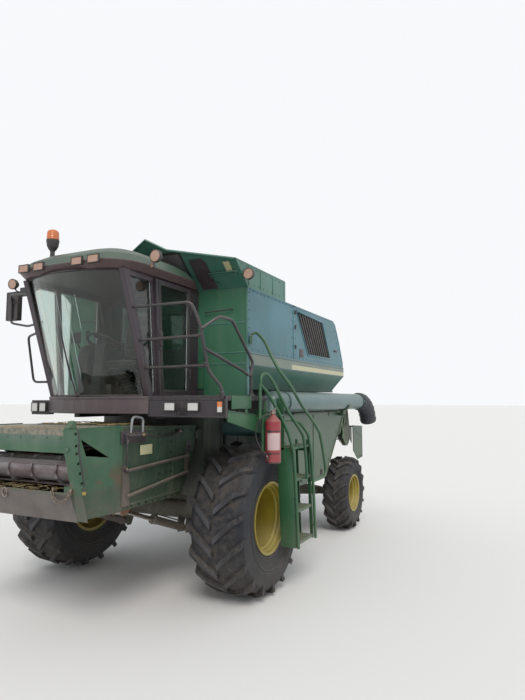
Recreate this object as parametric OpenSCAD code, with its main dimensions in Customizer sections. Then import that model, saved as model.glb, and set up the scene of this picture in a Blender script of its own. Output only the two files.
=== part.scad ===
// Large self-propelled combine harvester, standing without its header.
// Millimetres, +Z up, +X forwards, +Y to the machine's left. Inside each sub-part the
// lengths count from the drive axle's middle, and place() moves them to the part's origin.

/* [Drive wheels] */
// Outer radius of a drive tyre at its lugs
drive_tyre_r = 915; // [880:5:940]
// Width of a drive tyre
drive_tyre_w = 700; // [640:10:720]
// Radius of a drive rim at its flange
drive_rim_r = 432; // [410:2:450]
// Distance between the middles of the drive tyres
drive_track = 2800; // [2780:10:2840]
// Tread lugs on each side of a drive tyre
drive_lugs = 18; // [14:1:24]

/* [Steered wheels] */
// Outer radius of a steered tyre at its lugs
steer_tyre_r = 650; // [620:5:680]
// Width of a steered tyre
steer_tyre_w = 450; // [420:5:460]
// Radius of a steered rim at its flange
steer_rim_r = 330; // [310:2:350]
// Distance between the middles of the steered tyres
steer_track = 2850; // [2830:10:2900]
// Tread lugs on each side of a steered tyre
steer_lugs = 16; // [12:1:20]
// Distance from the drive axle back to the steered axle
wheelbase = 3755; // [3700:5:3800]

// Bore of the tow hitch behind the steered axle
hitch_bore = 34; // [30:1:40]

/* [Upper body] */
// Half width of the body over its flanks
flank_y = 1480; // [1460:5:1500]
// Front face of the grain tank
tank_front = 200; // [190:2:210]
// Seam between the grain tank and the engine hood
seam_x = -1270; // [-1300:5:-1240]
// Top of the grain tank and of the engine hood
hood_top = 3740; // [3700:10:3780]
// Bottom of the flanks, where the pale band starts
flank_low = 2930; // [2920:5:2950]
// Height of the pale band
band_h = 170; // [150:5:180]
// Bottom of the body's undercut
skirt_low = 2480; // [2470:5:2500]
// Half width of the body at the bottom of the undercut
skirt_y = 1230; // [1200:5:1250]
// Back end of the flanks at the pale band
hood_back = -3620; // [-3660:10:-3600]
// Wall of the sheet-metal housings
shell = 40; // [30:2:50]
// Height of the grain tank's extension above the tank
extension_h = 290; // [260:10:320]

/* [Threshing body] */
// Half width of the threshing body
body_y = 830; // [810:5:840]
// Front face of the threshing body
body_front = 150; // [140:2:156]

/* [Cab] */
// Half width of the cab
cab_y = 760; // [750:2:770]
// Height of the cab's floor
cab_floor = 2380; // [2370:2:2400]
// Height of the cab's base band
base_h = 200; // [180:5:210]
// Front of the cab's base beside the bulge
cab_front = 1200; // [1190:2:1210]
// Bulge of the cab's front and windscreen
bulge = 190; // [160:5:200]
// Lean of the front pillars over their height
pillar_lean = 470; // [440:5:480]
// Underside of the roof
roof_low = 3740; // [3730:2:3760]
// Height of the roof's dome
roof_h = 390; // [340:10:400]
// Thickness of the cab's glass
glass = 8; // [6:1:12]
// Width of the cab's posts
post = 70; // [60:2:80]

/* [Platform] */
// Outer edge of the driver's platform
deck_y = 1750; // [1740:2:1760]
// Thickness of the platform's deck
deck_t = 50; // [40:2:60]
// Diameter of the black handrails
rail_d = 34; // [30:1:38]

/* [Ladder] */
// Front plate of the ladder at its lowest tread
ladder_front = -120; // [-130:2:-110]
// Clear width of the ladder
ladder_w = 570; // [550:5:580]
// Depth of a tread
tread_depth = 200; // [190:2:210]
// Height from tread to tread
tread_rise = 385; // [376:1:388]
// Height of the lowest tread
first_tread = 610; // [600:2:620]
// Diameter of the green ladder tubes
tube_d = 38; // [34:1:42]

/* [Feeder house] */
// Half width of the feeder house
feeder_y = 750; // [740:2:756]
// Front of the header frame
frame_front = 2400; // [2390:5:2420]
// Plate of the feeder house
plate = 12; // [10:1:16]
// Radius of the conveyor's front drum
drum_r = 130; // [120:2:140]
// Diameter of a lift cylinder
lift_d = 96; // [90:2:104]
// Diameter of a lift cylinder's rod
lift_rod_d = 50; // [46:1:54]

// Diameter of a locking pin for the header
lock_d = 30; // [25:1:35]
// Length of a locking pin outside the frame
lock_l = 60; // [50:5:80]

/* [Unloading auger] */
// Radius of the unloading tube
auger_r = 145; // [135:1:150]
// Distance of the unloading tube from the middle of the machine
auger_y = 1500; // [1495:1:1505]
// Height of the unloading tube
auger_z = 2310; // [2300:1:2316]
// Back end of the metal tube
auger_back = -4500; // [-4560:10:-4440]
// Lean of the auger's swivel axis
swivel_lean = 18.9; // [18:0.1:20]

/* [Rear end] */
// Half width of the straw deflector
deflector_y = 1280; // [1260:5:1290]
// Back end of the straw deflector
deflector_back = -5560; // [-5600:10:-5500]

/* [Hidden] */
$fn = 48;

green = "#3f7a52";
dusty_green = "#5d8f84";
pale_band_colour = "#b7bd96";
charcoal = "#3a3238";
rim_yellow = "#d8b92a";
tyre_black = "#34312f";
worn_steel = "#8b857c";

// Clearance between a piece and its seat
fit = 0.3;
// Reach of the machine on each side, for the origin in the middle of its box
handrail_y = 2025;
left_reach = handrail_y + tube_d / 2;
right_reach = drive_track / 2 + drive_tyre_w / 2;
mid_x = (frame_front + deflector_back) / 2;
mid_y = (left_reach - right_reach) / 2;

module place() { translate([-mid_x, -mid_y, 0]) children(); }
module both_sides() {
    children();
    mirror([0, 1, 0]) children();
}

// Prism on an outline of [x, z] points, between two values of y
module side_prism(outline, y_from, y_to) {
    translate([0, y_to, 0]) rotate([90, 0, 0]) linear_extrude(y_to - y_from) polygon(outline);
}
// Prism on an outline of [y, z] points, between two values of x
module cross_prism(outline, x_from, x_to) {
    translate([x_from, 0, 0]) rotate([90, 0, 90]) linear_extrude(x_to - x_from) polygon(outline);
}
module block(low, high) { translate(low) cube(high - low); }
module y_bar(d, y_from, y_to) { translate([0, y_from, 0]) rotate([-90, 0, 0]) cylinder(d = d, h = y_to - y_from); }
// Round bar from one point to another
module bar(from, to, d) {
    run = to - from;
    translate(from) rotate([0, acos(run.z / norm(run)), atan2(run.y, run.x)]) cylinder(d = d, h = norm(run));
}

// Smooth bent tubes: a path's corners become short curves, and rings follow the path
function unit(v) = v / norm(v);
function bend(a, p, b, r, steps) = [for (i = [0:steps]) let (t = i / steps, s = p + unit(a - p) * r, e = p + unit(b - p) * r)
    s * pow(1 - t, 2) + p * 2 * t * (1 - t) + e * pow(t, 2)];
function smooth(path, r, steps = 3) = concat([path[0]],
    [for (i = [1:1:len(path) - 2]) each bend(path[i - 1], path[i], path[i + 1], r, steps)], [path[len(path) - 1]]);
function headings(path) = [for (i = [0:len(path) - 1])
    unit((i < len(path) - 1 ? unit(path[i + 1] - path[i]) : [0, 0, 0]) + (i > 0 ? unit(path[i] - path[i - 1]) : [0, 0, 0]))];
function carried(headings, i, side) = i >= len(headings) ? [] :
    let (now = unit(side - headings[i] * (side * headings[i]))) concat([now], carried(headings, i + 1, now));
module bent_tube(path, d, sides = 10) {
    heading = headings(path);
    first_side = abs(heading[0].z) < 0.9 ? cross(heading[0], [0, 0, 1]) : cross(heading[0], [0, 1, 0]);
    side = carried(heading, 0, first_side);
    rings = len(path);
    points = [for (i = [0:rings - 1]) for (k = [0:sides - 1])
        path[i] + (side[i] * cos(360 * k / sides) + cross(heading[i], side[i]) * sin(360 * k / sides)) * d / 2];
    walls = [for (i = [0:rings - 2]) for (k = [0:sides - 1])
        [i * sides + k, (i + 1) * sides + k, (i + 1) * sides + (k + 1) % sides, i * sides + (k + 1) % sides]];
    polyhedron(points, concat(walls, [[for (k = [0:sides - 1]) k]], [[for (k = [sides - 1:-1:0]) (rings - 1) * sides + k]]));
}

// Wheels

lug_h = 50;
rim_step = 26;
// Share of the tyre's width at which the rim's flanges stand, and a flange's lean
rim_edge = 0.4;
flange_t = 4;
// Half widths of a lug at its top and at its foot, in degrees around the tyre
lug_top = 2.1;
lug_foot = 3.1;
// Columns: share of the half width at the top and at the foot, sweep in degrees, drop of the top and of the foot
lug_stations = [[0.05, 0.05, 17, 0, 66], [0.62, 0.62, 5, 12, 78], [0.97, 0.9, 0, 52, 122], [1, 0.9, -3, 150, 190]];

module tread_lug(r, w, side) {
    columns = [for (s = lug_stations) let (foot = [r - s[4], s[1]], top = [r - s[3], s[0]])
        for (c = [[foot, -lug_foot], [top, -lug_top], [top, lug_top], [foot, lug_foot]])
            let (a = s[2] + c[1]) [c[0][0] * sin(a), side * c[0][1] * w / 2, c[0][0] * cos(a)]];
    spans = len(lug_stations) - 1;
    walls = [for (i = [0:spans - 1]) for (k = [0:3]) [i * 4 + k, i * 4 + (k + 1) % 4, i * 4 + 4 + (k + 1) % 4, i * 4 + 4 + k]];
    faces = concat(walls, [[3, 2, 1, 0]], [[for (k = [0:3]) spans * 4 + k]]);
    polyhedron(columns, side > 0 ? [for (f = faces) [for (k = [len(f) - 1:-1:0]) f[k]]] : faces);
}

module tyre(r, w, rim_r, lugs) {
    seat = rim_r - rim_step + fit;
    crown = r - lug_h;
    bead = rim_edge * w;
    half = [[seat, bead - fit], [rim_r + 3, bead + flange_t - fit], [(seat + crown) / 2 + 20, w / 2], [crown - 80, 0.48 * w], [crown - 16, 0.36 * w]];
    outline = concat([for (p = half) [p[0], -p[1]]], [[crown, 0]], [for (i = [len(half) - 1:-1:0]) half[i]]);
    color(tyre_black) union() {
        rotate([90, 0, 0]) rotate_extrude($fn = 32) polygon(outline);
        for (i = [0:lugs - 1]) {
            rotate([0, i * 360 / lugs, 0]) tread_lug(r, w, 1);
            rotate([0, (i + 0.5) * 360 / lugs, 0]) tread_lug(r, w, -1);
        }
    }
}

// Wheel centre's disc stands on the machine's side, so the rim is deep from outside
rim_t = 14;
hub_hole_r = 110;
// Outline of a rim: the tyre's side first, then the open side with its two steps, [radius, y outwards]
function rim_outline(r, w) = let (seat = r - rim_step, edge = rim_edge * w, well = 0.16 * w, in = seat - rim_t)
    [[r, -edge - flange_t], [seat, -edge], [seat, -well - 50], [seat - 34, -well - 8], [seat - 34, well + 8], [seat, well + 50],
    [seat, edge], [r, edge + flange_t], [r, edge + 18], [in + 6, edge + 12], [in, edge - 26], [in - 20, edge - 38],
    [in - 22, edge - 66], [in - 44, edge - 82], [in - 48, -well], [in, -well - 40], [in, -edge - 10], [r, -edge - 18]];
module rim(r, w, hub_y) {
    seat = r - rim_step;
    color(rim_yellow) difference() {
        union() {
            rotate([-90, 0, 0]) rotate_extrude() polygon(rim_outline(r, w));
            translate([0, hub_y, 0]) rotate([-90, 0, 0]) rotate_extrude() polygon([[hub_hole_r, 0], [hub_hole_r + 75, 0],
                [seat - 130, 52], [seat - 36, 52], [seat - 36, 66], [seat - 136, 66], [hub_hole_r + 69, 14], [hub_hole_r, 14]]);
        }
        for (i = [0:9]) rotate([0, i * 36, 0]) translate([0, hub_y - 1, hub_hole_r + 40]) rotate([-90, 0, 0]) cylinder(d = 24, h = 30, $fn = 16);
    }
}

drive_hub_y = drive_track / 2 - 150;
steer_hub_y = steer_track / 2 - 70;
module at_drive(side) { place() translate([0, side * drive_track / 2, drive_tyre_r]) scale_side(side) children(); }
module at_steer(side) { place() translate([-wheelbase, side * steer_track / 2, steer_tyre_r]) scale_side(side) children(); }
module scale_side(side) {
    if (side > 0) children();
    else mirror([0, 1, 0]) children();
}
module drive_tyre_left() { at_drive(1) tyre(drive_tyre_r, drive_tyre_w, drive_rim_r, drive_lugs); }
module drive_tyre_right() { at_drive(-1) tyre(drive_tyre_r, drive_tyre_w, drive_rim_r, drive_lugs); }
module drive_rim_left() { at_drive(1) rim(drive_rim_r, drive_tyre_w, drive_hub_y - drive_track / 2); }
module drive_rim_right() { at_drive(-1) rim(drive_rim_r, drive_tyre_w, drive_hub_y - drive_track / 2); }
module steer_tyre_left() { at_steer(1) tyre(steer_tyre_r, steer_tyre_w, steer_rim_r, steer_lugs); }
module steer_tyre_right() { at_steer(-1) tyre(steer_tyre_r, steer_tyre_w, steer_rim_r, steer_lugs); }
module steer_rim_left() { at_steer(1) rim(steer_rim_r, steer_tyre_w, steer_hub_y - steer_track / 2); }
module steer_rim_right() { at_steer(-1) rim(steer_rim_r, steer_tyre_w, steer_hub_y - steer_track / 2); }

// Axles

axle_d = 230;
axle_top = 1120;
lift_base = [60, 690];
lift_y = 480;
lift_pin = 40;
// Ears beside a lift cylinder's eyes, and their pins
ear_gap = lift_d / 2 + 4;
ear_t = 18;
eye_pin = 30;
module ears(outline) for (y = [lift_y - ear_gap - ear_t, lift_y + ear_gap]) side_prism(outline, y, y + ear_t);
module ear_pin(at, d) translate([at.x, 0, at.y]) y_bar(d, lift_y - ear_gap - 4, lift_y + ear_gap + 4);
final_d = 440;
final_y = 900;
neck_d = 300;
neck_y = final_y + 150;
module front_axle() {
    color(green) place() {
        translate([0, 0, drive_tyre_r]) y_bar(axle_d, -final_y, final_y);
        both_sides() {
            translate([0, 0, drive_tyre_r]) {
                y_bar(final_d, final_y, neck_y);
                y_bar(neck_d, neck_y, drive_hub_y - fit);
                y_bar(2 * hub_hole_r - 2 * fit, drive_hub_y - fit, drive_hub_y + 70);
            }
            block([-130, 560, drive_tyre_r], [130, body_y - 30, axle_top]);
            ears([[-60, 880], [-60, 800], [lift_base.x - 40, lift_base.y - 50], [lift_base.x + 40, lift_base.y - 50],
                [lift_base.x + 46, lift_base.y + 60], [90, 880]]);
            ear_pin(lift_base, lift_pin);
        }
    }
}

kingpin_y = 1100;
kingpin_r = 32;
steer_z = steer_tyre_r;
hitch_x = -440;
hitch_t = 40;
module rear_axle() {
    color(green) place() translate([-wheelbase, 0, 0]) difference() {
        union() {
            cross_prism([[-940, steer_z - 60], [-300, steer_z - 110], [300, steer_z - 110], [940, steer_z - 60],
                [940, steer_z + 60], [300, steer_z + 130], [-300, steer_z + 130], [-940, steer_z + 60]], -90, 90);
            both_sides() {
                block([-55, 930, steer_z - 60], [55, kingpin_y, steer_z + 60]);
                translate([0, kingpin_y, steer_z - 60]) cylinder(r = kingpin_r + 36, h = 120);
            }
            block([-70, -200, steer_z], [70, 200, 1180]);
            block([-220, -body_y, 1180], [220, body_y, 1380]);
            block([hitch_x - 60, -60, steer_z - hitch_t / 2], [-80, 60, steer_z + hitch_t / 2]);
        }
        for (side = [-1, 1]) translate([0, side * kingpin_y, steer_z - 100]) cylinder(r = kingpin_r + 0.05, h = 200);
        translate([hitch_x, 0, steer_z - 60]) cylinder(d = hitch_bore, h = 120);
    }
}

module knuckle(side) {
    color(worn_steel) place() translate([-wheelbase, 0, steer_z]) scale_side(side) {
        translate([0, kingpin_y, -112]) cylinder(r = kingpin_r, h = 224);
        block([-60, kingpin_y - 66, 66], [60, kingpin_y + 110, 112]);
        block([-60, kingpin_y - 66, -112], [60, kingpin_y + 110, -66]);
        block([-60, kingpin_y + 76, -112], [60, kingpin_y + 130, 112]);
        y_bar(250, kingpin_y + 130, steer_hub_y - fit);
        y_bar(2 * hub_hole_r - 2 * fit, steer_hub_y - fit, steer_hub_y + 60);
        block([-330, kingpin_y - 40, 66], [-40, kingpin_y + 20, 96]);
    }
}
module knuckle_left() { knuckle(1); }
module knuckle_right() { knuckle(-1); }

// Threshing body

body_back = -4250;
feeder_hinge = [215, 1900];
hinge_boss_d = 100;
feeder_pin_d = 40;
belly_low = 800;
tail_low = 1380;
tail_end = 1500;
// Side outline of the threshing body: front, top, sloping tail, raised belly over the rear axle, sieve box
body_outline = [[body_front, axle_top], [body_front, skirt_low], [body_back + 500, skirt_low], [body_back, 2100], [body_back, tail_end],
    [body_back + 350, tail_low], [body_back + 1200, tail_low], [body_back + 1650, belly_low], [-900, belly_low], [-600, axle_top]];
module threshing_body() {
    color(dusty_green) place() {
        both_sides() translate([0, feeder_y + fit, 0]) {
            side_prism([[body_front, feeder_hinge.y - 70], [feeder_hinge.x + 40, feeder_hinge.y - 40],
                [feeder_hinge.x + 40, feeder_hinge.y + 40], [body_front, feeder_hinge.y + 70]], 0, 24);
            translate([feeder_hinge.x, 0, feeder_hinge.y]) y_bar(feeder_pin_d, -50, 24);
        }
        side_prism(body_outline, -body_y, body_y);
    }
}

// Upper body

tank_low = 2340;
module grain_tank() {
    color(dusty_green) place() difference() {
        union() {
            block([seam_x, -flank_y, flank_low], [tank_front, flank_y, hood_top]);
            block([seam_x, -skirt_y, skirt_low], [tank_front - shell, skirt_y, flank_low]);
            both_sides() block([tank_front - shell, 850, tank_low], [tank_front, flank_y, flank_low]);
        }
        cross_prism([[-flank_y + shell, hood_top + 1], [-flank_y + shell, 3350], [-320, skirt_low + shell], [320, skirt_low + shell],
            [flank_y - shell, 3350], [flank_y - shell, hood_top + 1]], seam_x + shell, tank_front - shell);
    }
}

extension_back = -960;
extension_top = hood_top + extension_h;
extension_front = 530;
// Front top edge of the extension: [y, z]
extension_ridge = [[flank_y, extension_top], [600, 4190], [380, 4310], [-20, 4180], [-600, 4180], [-flank_y, extension_top]];
// Window in the extension's front: low and high corner, [y, z]
tank_window = [[440, 3800], [750, 4140]];
front_t = 20;
front_lean = (extension_front - tank_front) / (extension_top - hood_top);
module on_tank_front()
    multmatrix([[1, 0, front_lean, tank_front - front_t - hood_top * front_lean], [0, 1, 0, 0], [0, 0, 1, 0]]) children();
module tank_extension() {
    color(green) place() {
        both_sides() side_prism([[extension_back, hood_top], [tank_front, hood_top], [extension_front, extension_top],
            [extension_back, extension_top]], flank_y - front_t, flank_y);
        block([extension_back, -flank_y + front_t, hood_top], [extension_back + front_t, flank_y - front_t, extension_top]);
        on_tank_front() difference() {
            cross_prism(concat([[-flank_y + front_t, hood_top], [flank_y - front_t, hood_top]],
                [for (p = extension_ridge) [min(flank_y - front_t, max(-flank_y + front_t, p[0])), p[1]]]), 0, front_t);
            block([-1, tank_window[0].x, tank_window[0].y], [front_t + 1, tank_window[1].x, tank_window[1].y]);
        }
    }
}

hood_top_back = -3080;
// Side outline of the engine hood
hood_outline = [[seam_x, flank_low], [seam_x, hood_top], [hood_top_back, hood_top], [hood_top_back - 120, hood_top - 60],
    [hood_top_back - 330, 3380], [hood_back, 3000], [hood_back, flank_low]];
// Parallelogram of the louvres, from its top front corner
louvre = [[-1390, 3660], [-2500, 3630], [-2870, 3060], [-1840, 3050]];
module engine_hood() {
    color(dusty_green) place() difference() {
        side_prism(hood_outline, -flank_y, flank_y);
        side_prism([[seam_x - fit, flank_low - 1], [seam_x - fit, hood_top - shell], [hood_top_back, hood_top - shell],
            [hood_top_back - 290, 3370], [hood_back + shell, 2990], [hood_back + shell, flank_low - 1]], -flank_y + shell, flank_y - shell);
        for (side = [-1, 1]) scale_side(side) side_prism(louvre, flank_y - shell - 1, flank_y + 1);
    }
}
slat_count = 10;
// Share of the louvre's length that a slat takes
slat_share = 0.027;
function along(a, b, t) = a + (b - a) * t;
// Outline of a grille, a hair smaller than the louvre that holds it
grille = [for (p = louvre) along(p, (louvre[0] + louvre[1] + louvre[2] + louvre[3]) / 4, 0.001)];
module engine_grilles() {
    color(charcoal) place() both_sides() {
        side_prism(grille, flank_y - shell + 1, flank_y - shell + 8);
        for (i = [0:slat_count]) {
            t = i * (1 - slat_share) / slat_count;
            side_prism([along(grille[0], grille[1], t), along(grille[0], grille[1], t + slat_share),
                along(grille[3], grille[2], t + slat_share), along(grille[3], grille[2], t)], flank_y - shell + 8, flank_y - 6);
        }
    }
}
floor_t = 20;
engine_y = 500;
module engine_block() { color("dimgray") place() block([seam_x - 1630, -engine_y, skirt_low + floor_t], [seam_x - 430, engine_y, hood_top - 390]); }

band_low = flank_low - band_h;
module lower_fairing() {
    color(green) place() {
        both_sides() {
            cross_prism([[skirt_y, skirt_low], [skirt_y, flank_low], [flank_y, flank_low], [flank_y, band_low]], hood_back, tank_front - shell);
        }
        side_prism([[hood_back + 60, skirt_low], [hood_back - 130, skirt_low], [hood_back, flank_low], [hood_back + 60, flank_low]], -skirt_y, skirt_y);
        block([hood_back, -skirt_y, skirt_low], [seam_x - fit, skirt_y, skirt_low + floor_t]);
    }
}
band_t = 10;
module flank_band() {
    color(pale_band_colour) place() {
        both_sides() block([hood_back, flank_y, band_low], [tank_front - shell, flank_y + band_t, flank_low]);
    }
}

// Lower side shields under the auger
shield_y = 1420;
shield_outline = [[-1000, 2140], [-3880, 2140], [-2810, 1070], [-1500, 1050], [-1000, 1500]];
module side_shields() {
    color(green) place() both_sides() {
        side_prism(shield_outline, shield_y - 20, shield_y);
        for (x = [-1400, -2200, -3000]) block([x, body_y, 1900], [x + 50, shield_y - 20, 1950]);
    }
}

// Rear end

chopper_x = body_back - 310;
chopper_z = 1640;
chopper_r = 250;
hinge_x = body_back - 590;
hinge_z = 1800;
hinge_tube = 56;
hinge_pin = 24;
hinge_y = 560;
module straw_hood() {
    color(green) place() {
        difference() {
            side_prism([[body_back, tail_end], [body_back, 2460], [body_back - 450, 2200], [body_back - 530, 1900], [body_back - 450, 1640],
                [body_back - 50, tail_end]], -body_y, body_y);
            translate([chopper_x, 0, chopper_z]) y_bar(2 * (chopper_r + fit), -body_y - 1, body_y + 1);
        }
        both_sides() {
            side_prism([[body_back - 480, 2060], [body_back - 510, 1960], [hinge_x - 24, hinge_z - 24], [hinge_x - 24, hinge_z + 24], [hinge_x, 1960]], hinge_y + fit, hinge_y + 24);
            translate([hinge_x, 0, hinge_z]) y_bar(hinge_pin, hinge_y - 60, hinge_y + 24);
        }
    }
}
module straw_chopper() {
    color(green) place() translate([chopper_x, 0, chopper_z]) y_bar(2 * chopper_r, -body_y - 40, body_y + 40);
}
module straw_deflector() {
    color(green) place() {
        both_sides() side_prism([[hinge_x - 30, hinge_z + 20], [deflector_back, 1780], [deflector_back, 1120], [hinge_x - 360, 1100], [hinge_x - 60, 1300]],
            deflector_y - 14, deflector_y);
        difference() {
            side_prism([[hinge_x - 26, hinge_z - 12], [hinge_x - 26, hinge_z + 12], [deflector_back, 1780], [deflector_back, 1750]], -deflector_y + 14, deflector_y - 14);
            both_sides() block([hinge_x - 44, hinge_y - 8, hinge_z - 40], [hinge_x, hinge_y + 34, hinge_z + 40]);
        }
        translate([hinge_x, 0, hinge_z]) difference() {
            y_bar(hinge_tube, -hinge_y, hinge_y);
            for (side = [-1, 1]) scale_side(side) y_bar(hinge_pin + 0.1, hinge_y - 62, hinge_y + 1);
        }
        for (i = [-4:4]) side_prism([[hinge_x - 140, 1792], [deflector_back, 1766], [deflector_back, 1400]], i * 260 - 5, i * 260 + 5);
    }
}
// Belt pulleys on the left of the rear body: [x, z, radius, root of the shaft]
pulleys = [[-3980, 2010, 190, body_y], [-4420, 2120, 110, body_y], [chopper_x, chopper_z, 120, body_y + 40]];
pulley_y = 1120;
pulley_w = 60;
module pulley(r) rotate([-90, 0, 0]) {
    rotate_extrude($fn = 32) polygon([[r - 30, 0], [r, 0], [r - 14, 22], [r - 14, 38], [r, pulley_w], [r - 30, pulley_w]]);
    translate([0, 0, 20]) cylinder(r = r - 24, h = 14, $fn = 32);
}
module rear_drives() {
    color(worn_steel) place() for (p = pulleys) translate([p[0], 0, p[1]]) {
        translate([0, pulley_y, 0]) pulley(p[2]);
        y_bar(pulley_w, p[3], pulley_y + pulley_w);
    }
}

// Cab

cab_back = 300;
// Outline of the cab's base from above, with its bulged front
function bulge_arc(x, y, rise, steps = 8) = [for (i = [0:steps]) let (t = 1 - 2 * i / steps) [x + rise * (1 - t * t), y * t]];
module cab_base() {
    color(charcoal) place() translate([0, 0, cab_floor - base_h]) linear_extrude(base_h)
        polygon(concat([[tank_front + fit, cab_y]], bulge_arc(cab_front, cab_y, bulge), [[tank_front + fit, -cab_y]]));
}
roof_post_x = cab_front + pillar_lean;
door_front = 1010;
door_back = 470;
// Rear edge of the front post and front edge of the door post at a height
function front_post(z) = cab_front - 90 + (z - cab_floor) * pillar_lean / (roof_low - cab_floor);
door_post_lean = 120;
function door_post(z) = door_front + 60 + (z - cab_floor) * door_post_lean / (roof_low - cab_floor);
frame_y = cab_y - 4;
header_low = roof_low - 60;
module cab_frame() {
    color(charcoal) place() {
        both_sides() {
            side_prism([[front_post(cab_floor), cab_floor], [front_post(cab_floor) + 80, cab_floor],
                [front_post(roof_low) + 80, roof_low], [front_post(roof_low), roof_low]], cab_y - post, frame_y);
            side_prism([[door_post(cab_floor) - 52, cab_floor], [door_post(cab_floor), cab_floor],
                [door_post(roof_low), roof_low], [door_post(roof_low) - 52, roof_low]], cab_y - post, frame_y);
            block([tank_front + fit, cab_y - post, cab_floor], [door_back - 8, frame_y, roof_low]);
            block([door_back - 8, cab_y - post, header_low], [roof_post_x - 90, frame_y, roof_low]);
            for (z = [3130:42:3600]) block([tank_front + 30, frame_y - 1, z], [door_hinge_x - 50, frame_y + 8, z + 22]);
        }
        block([tank_front + fit, -cab_y + post, cab_floor], [tank_front + 40, cab_y - post, 3000]);
        block([tank_front + fit, -cab_y + post, roof_low - 120], [tank_front + 40, cab_y - post, roof_low]);
    }
}
roof_back = 590;
beacon_at = [1400, -580];
beacon_foot = 290;
roof_y = 855;
roof_front = 1840;
module cab_roof() {
    // Columns: height, front, back, half width, corner radius
    slabs = [[roof_low, roof_front - 70, tank_front + 40, roof_y - 60, 340], [roof_low + 70, roof_front, roof_back - 180, roof_y, 400],
        [roof_low + 165, roof_front - 75, roof_back - 120, roof_y - 70, 400], [roof_low + 250, roof_front - 220, roof_back - 40, roof_y - 200, 360],
        [roof_low + roof_h - 10, roof_front - 590, roof_back + 160, 320, 240]];
    color("#4a5a50") place() translate([beacon_at.x, beacon_at.y, roof_low + 80]) cylinder(d = 110, h = beacon_foot - 80);
    color("#4a5a50") place() hull() for (s = slabs) translate([0, 0, s[0]]) linear_extrude(10)
        for (x = [s[1] - s[4], s[2] + 60]) for (side = [-1, 1]) {
            r = x > s[2] + 60 ? s[4] : 60;
            translate([x, side * (s[3] - r)]) circle(r = r, $fn = 28);
        }
}
module windscreen() {
    steps = 10;
    low = bulge_arc(cab_front, cab_y - post - 6, bulge, steps);
    high = [for (p = low) p + [pillar_lean - 40, 0]];
    outside = [for (p = low) [p.x, p.y, cab_floor + fit]];
    outside_top = [for (p = high) [p.x, p.y, roof_low - fit]];
    back = [glass, 0, 0];
    n = steps + 1;
    points = concat(outside, outside_top, [for (p = outside) p - back], [for (p = outside_top) p - back]);
    faces = concat(
        [for (i = [0:steps - 1]) [i, i + 1, n + i + 1, n + i]],
        [for (i = [0:steps - 1]) [2 * n + i, 3 * n + i, 3 * n + i + 1, 2 * n + i + 1]],
        [for (i = [0:steps - 1]) [i, 2 * n + i, 2 * n + i + 1, i + 1]],
        [for (i = [0:steps - 1]) [n + i, n + i + 1, 3 * n + i + 1, 3 * n + i]],
        [[0, n, 3 * n, 2 * n]], [[steps, 2 * n + steps, 3 * n + steps, n + steps]]);
    color("#8fb0b8", 0.35) place() polyhedron(points, faces);
}
module cab_glass() {
    pane_y = cab_y - post / 2;
    low = cab_floor + fit;
    high = header_low - fit;
    front_pane = [[door_post(low) + fit, low], [front_post(low) - fit, low], [front_post(high) - fit, high], [door_post(high) + fit, high]];
    rear_pane = [[door_back - 8 + fit, low], [door_post(low) - 52 - fit, low], [door_post(high) - 52 - fit, high], [door_back - 8 + fit, high]];
    color("#8fb0b8", 0.35) place() {
        both_sides() side_prism(front_pane, pane_y - glass / 2, pane_y + glass / 2);
        mirror([0, 1, 0]) side_prism(rear_pane, pane_y - glass / 2, pane_y + glass / 2);
        block([tank_front + 16, -cab_y + post + fit, 3000 + fit], [tank_front + 16 + glass, cab_y - post - fit, roof_low - 120 - fit]);
        on_tank_front() block([6, tank_window[0].x + fit, tank_window[0].y + fit], [6 + glass, tank_window[1].x - fit, tank_window[1].y - fit]);
    }
}
// Door of the left side, hinged at its rear edge
door_in = cab_y - 4 + fit;
door_t = 40;
door_hinge_r = 16;
door_hinge_x = door_back - 34;
door_hinge_y = door_in + door_t - 6;
door_low = cab_floor + 10;
door_top = roof_low - 20;
module door_outline(inset) {
    front_low = door_front + 30 - inset;
    front_high = door_front + 140 - inset;
    polygon([[door_back - 30 + inset, door_low + inset], [front_low, door_low + inset], [front_high, door_top - inset], [door_back - 30 + inset, door_top - inset]]);
}
module door_frame() {
    color(charcoal) place() {
        translate([0, door_in + door_t, 0]) rotate([90, 0, 0]) linear_extrude(door_t) difference() {
            door_outline(0);
            door_outline(56);
        }
        block([door_front + 44, door_in + door_t, 2960], [door_front + 76, door_in + door_t + 30, 3100]);
        for (z = [2600, 3400]) translate([door_hinge_x, door_hinge_y, z]) cylinder(r = door_hinge_r, h = 120);
    }
}
module door_glass() {
    color("#8fb0b8", 0.35) place() translate([0, door_in + door_t / 2 + glass / 2, 0]) rotate([90, 0, 0]) linear_extrude(glass) door_outline(56 + fit);
}
seat_x = 620;
module seat() {
    color("#3b3330") place() translate([seat_x, 0, cab_floor]) {
        cylinder(d = 260, h = 330);
        block([-230, -250, 330], [260, 250, 460]);
        side_prism([[-230, 460], [-90, 460], [-190, 1080], [-290, 1080]], -240, 240);
    }
}
column_x = 1150;
module steering_column() {
    color("#2c2a2c") place() {
        side_prism([[column_x - 20, cab_floor], [column_x + 90, cab_floor], [column_x + 10, 3010], [column_x - 60, 3010]], -70, 70);
        translate([column_x - 30, 0, 3030]) rotate([0, -25, 0]) {
            rotate_extrude() translate([190, 0]) circle(d = 30, $fn = 16);
            cylinder(d = 70, h = 40, center = true);
            for (a = [0, 120, 240]) rotate([0, 0, a]) block([0, -14, -8], [190, 14, 8]);
        }
    }
}

// Platform and railings

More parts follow.
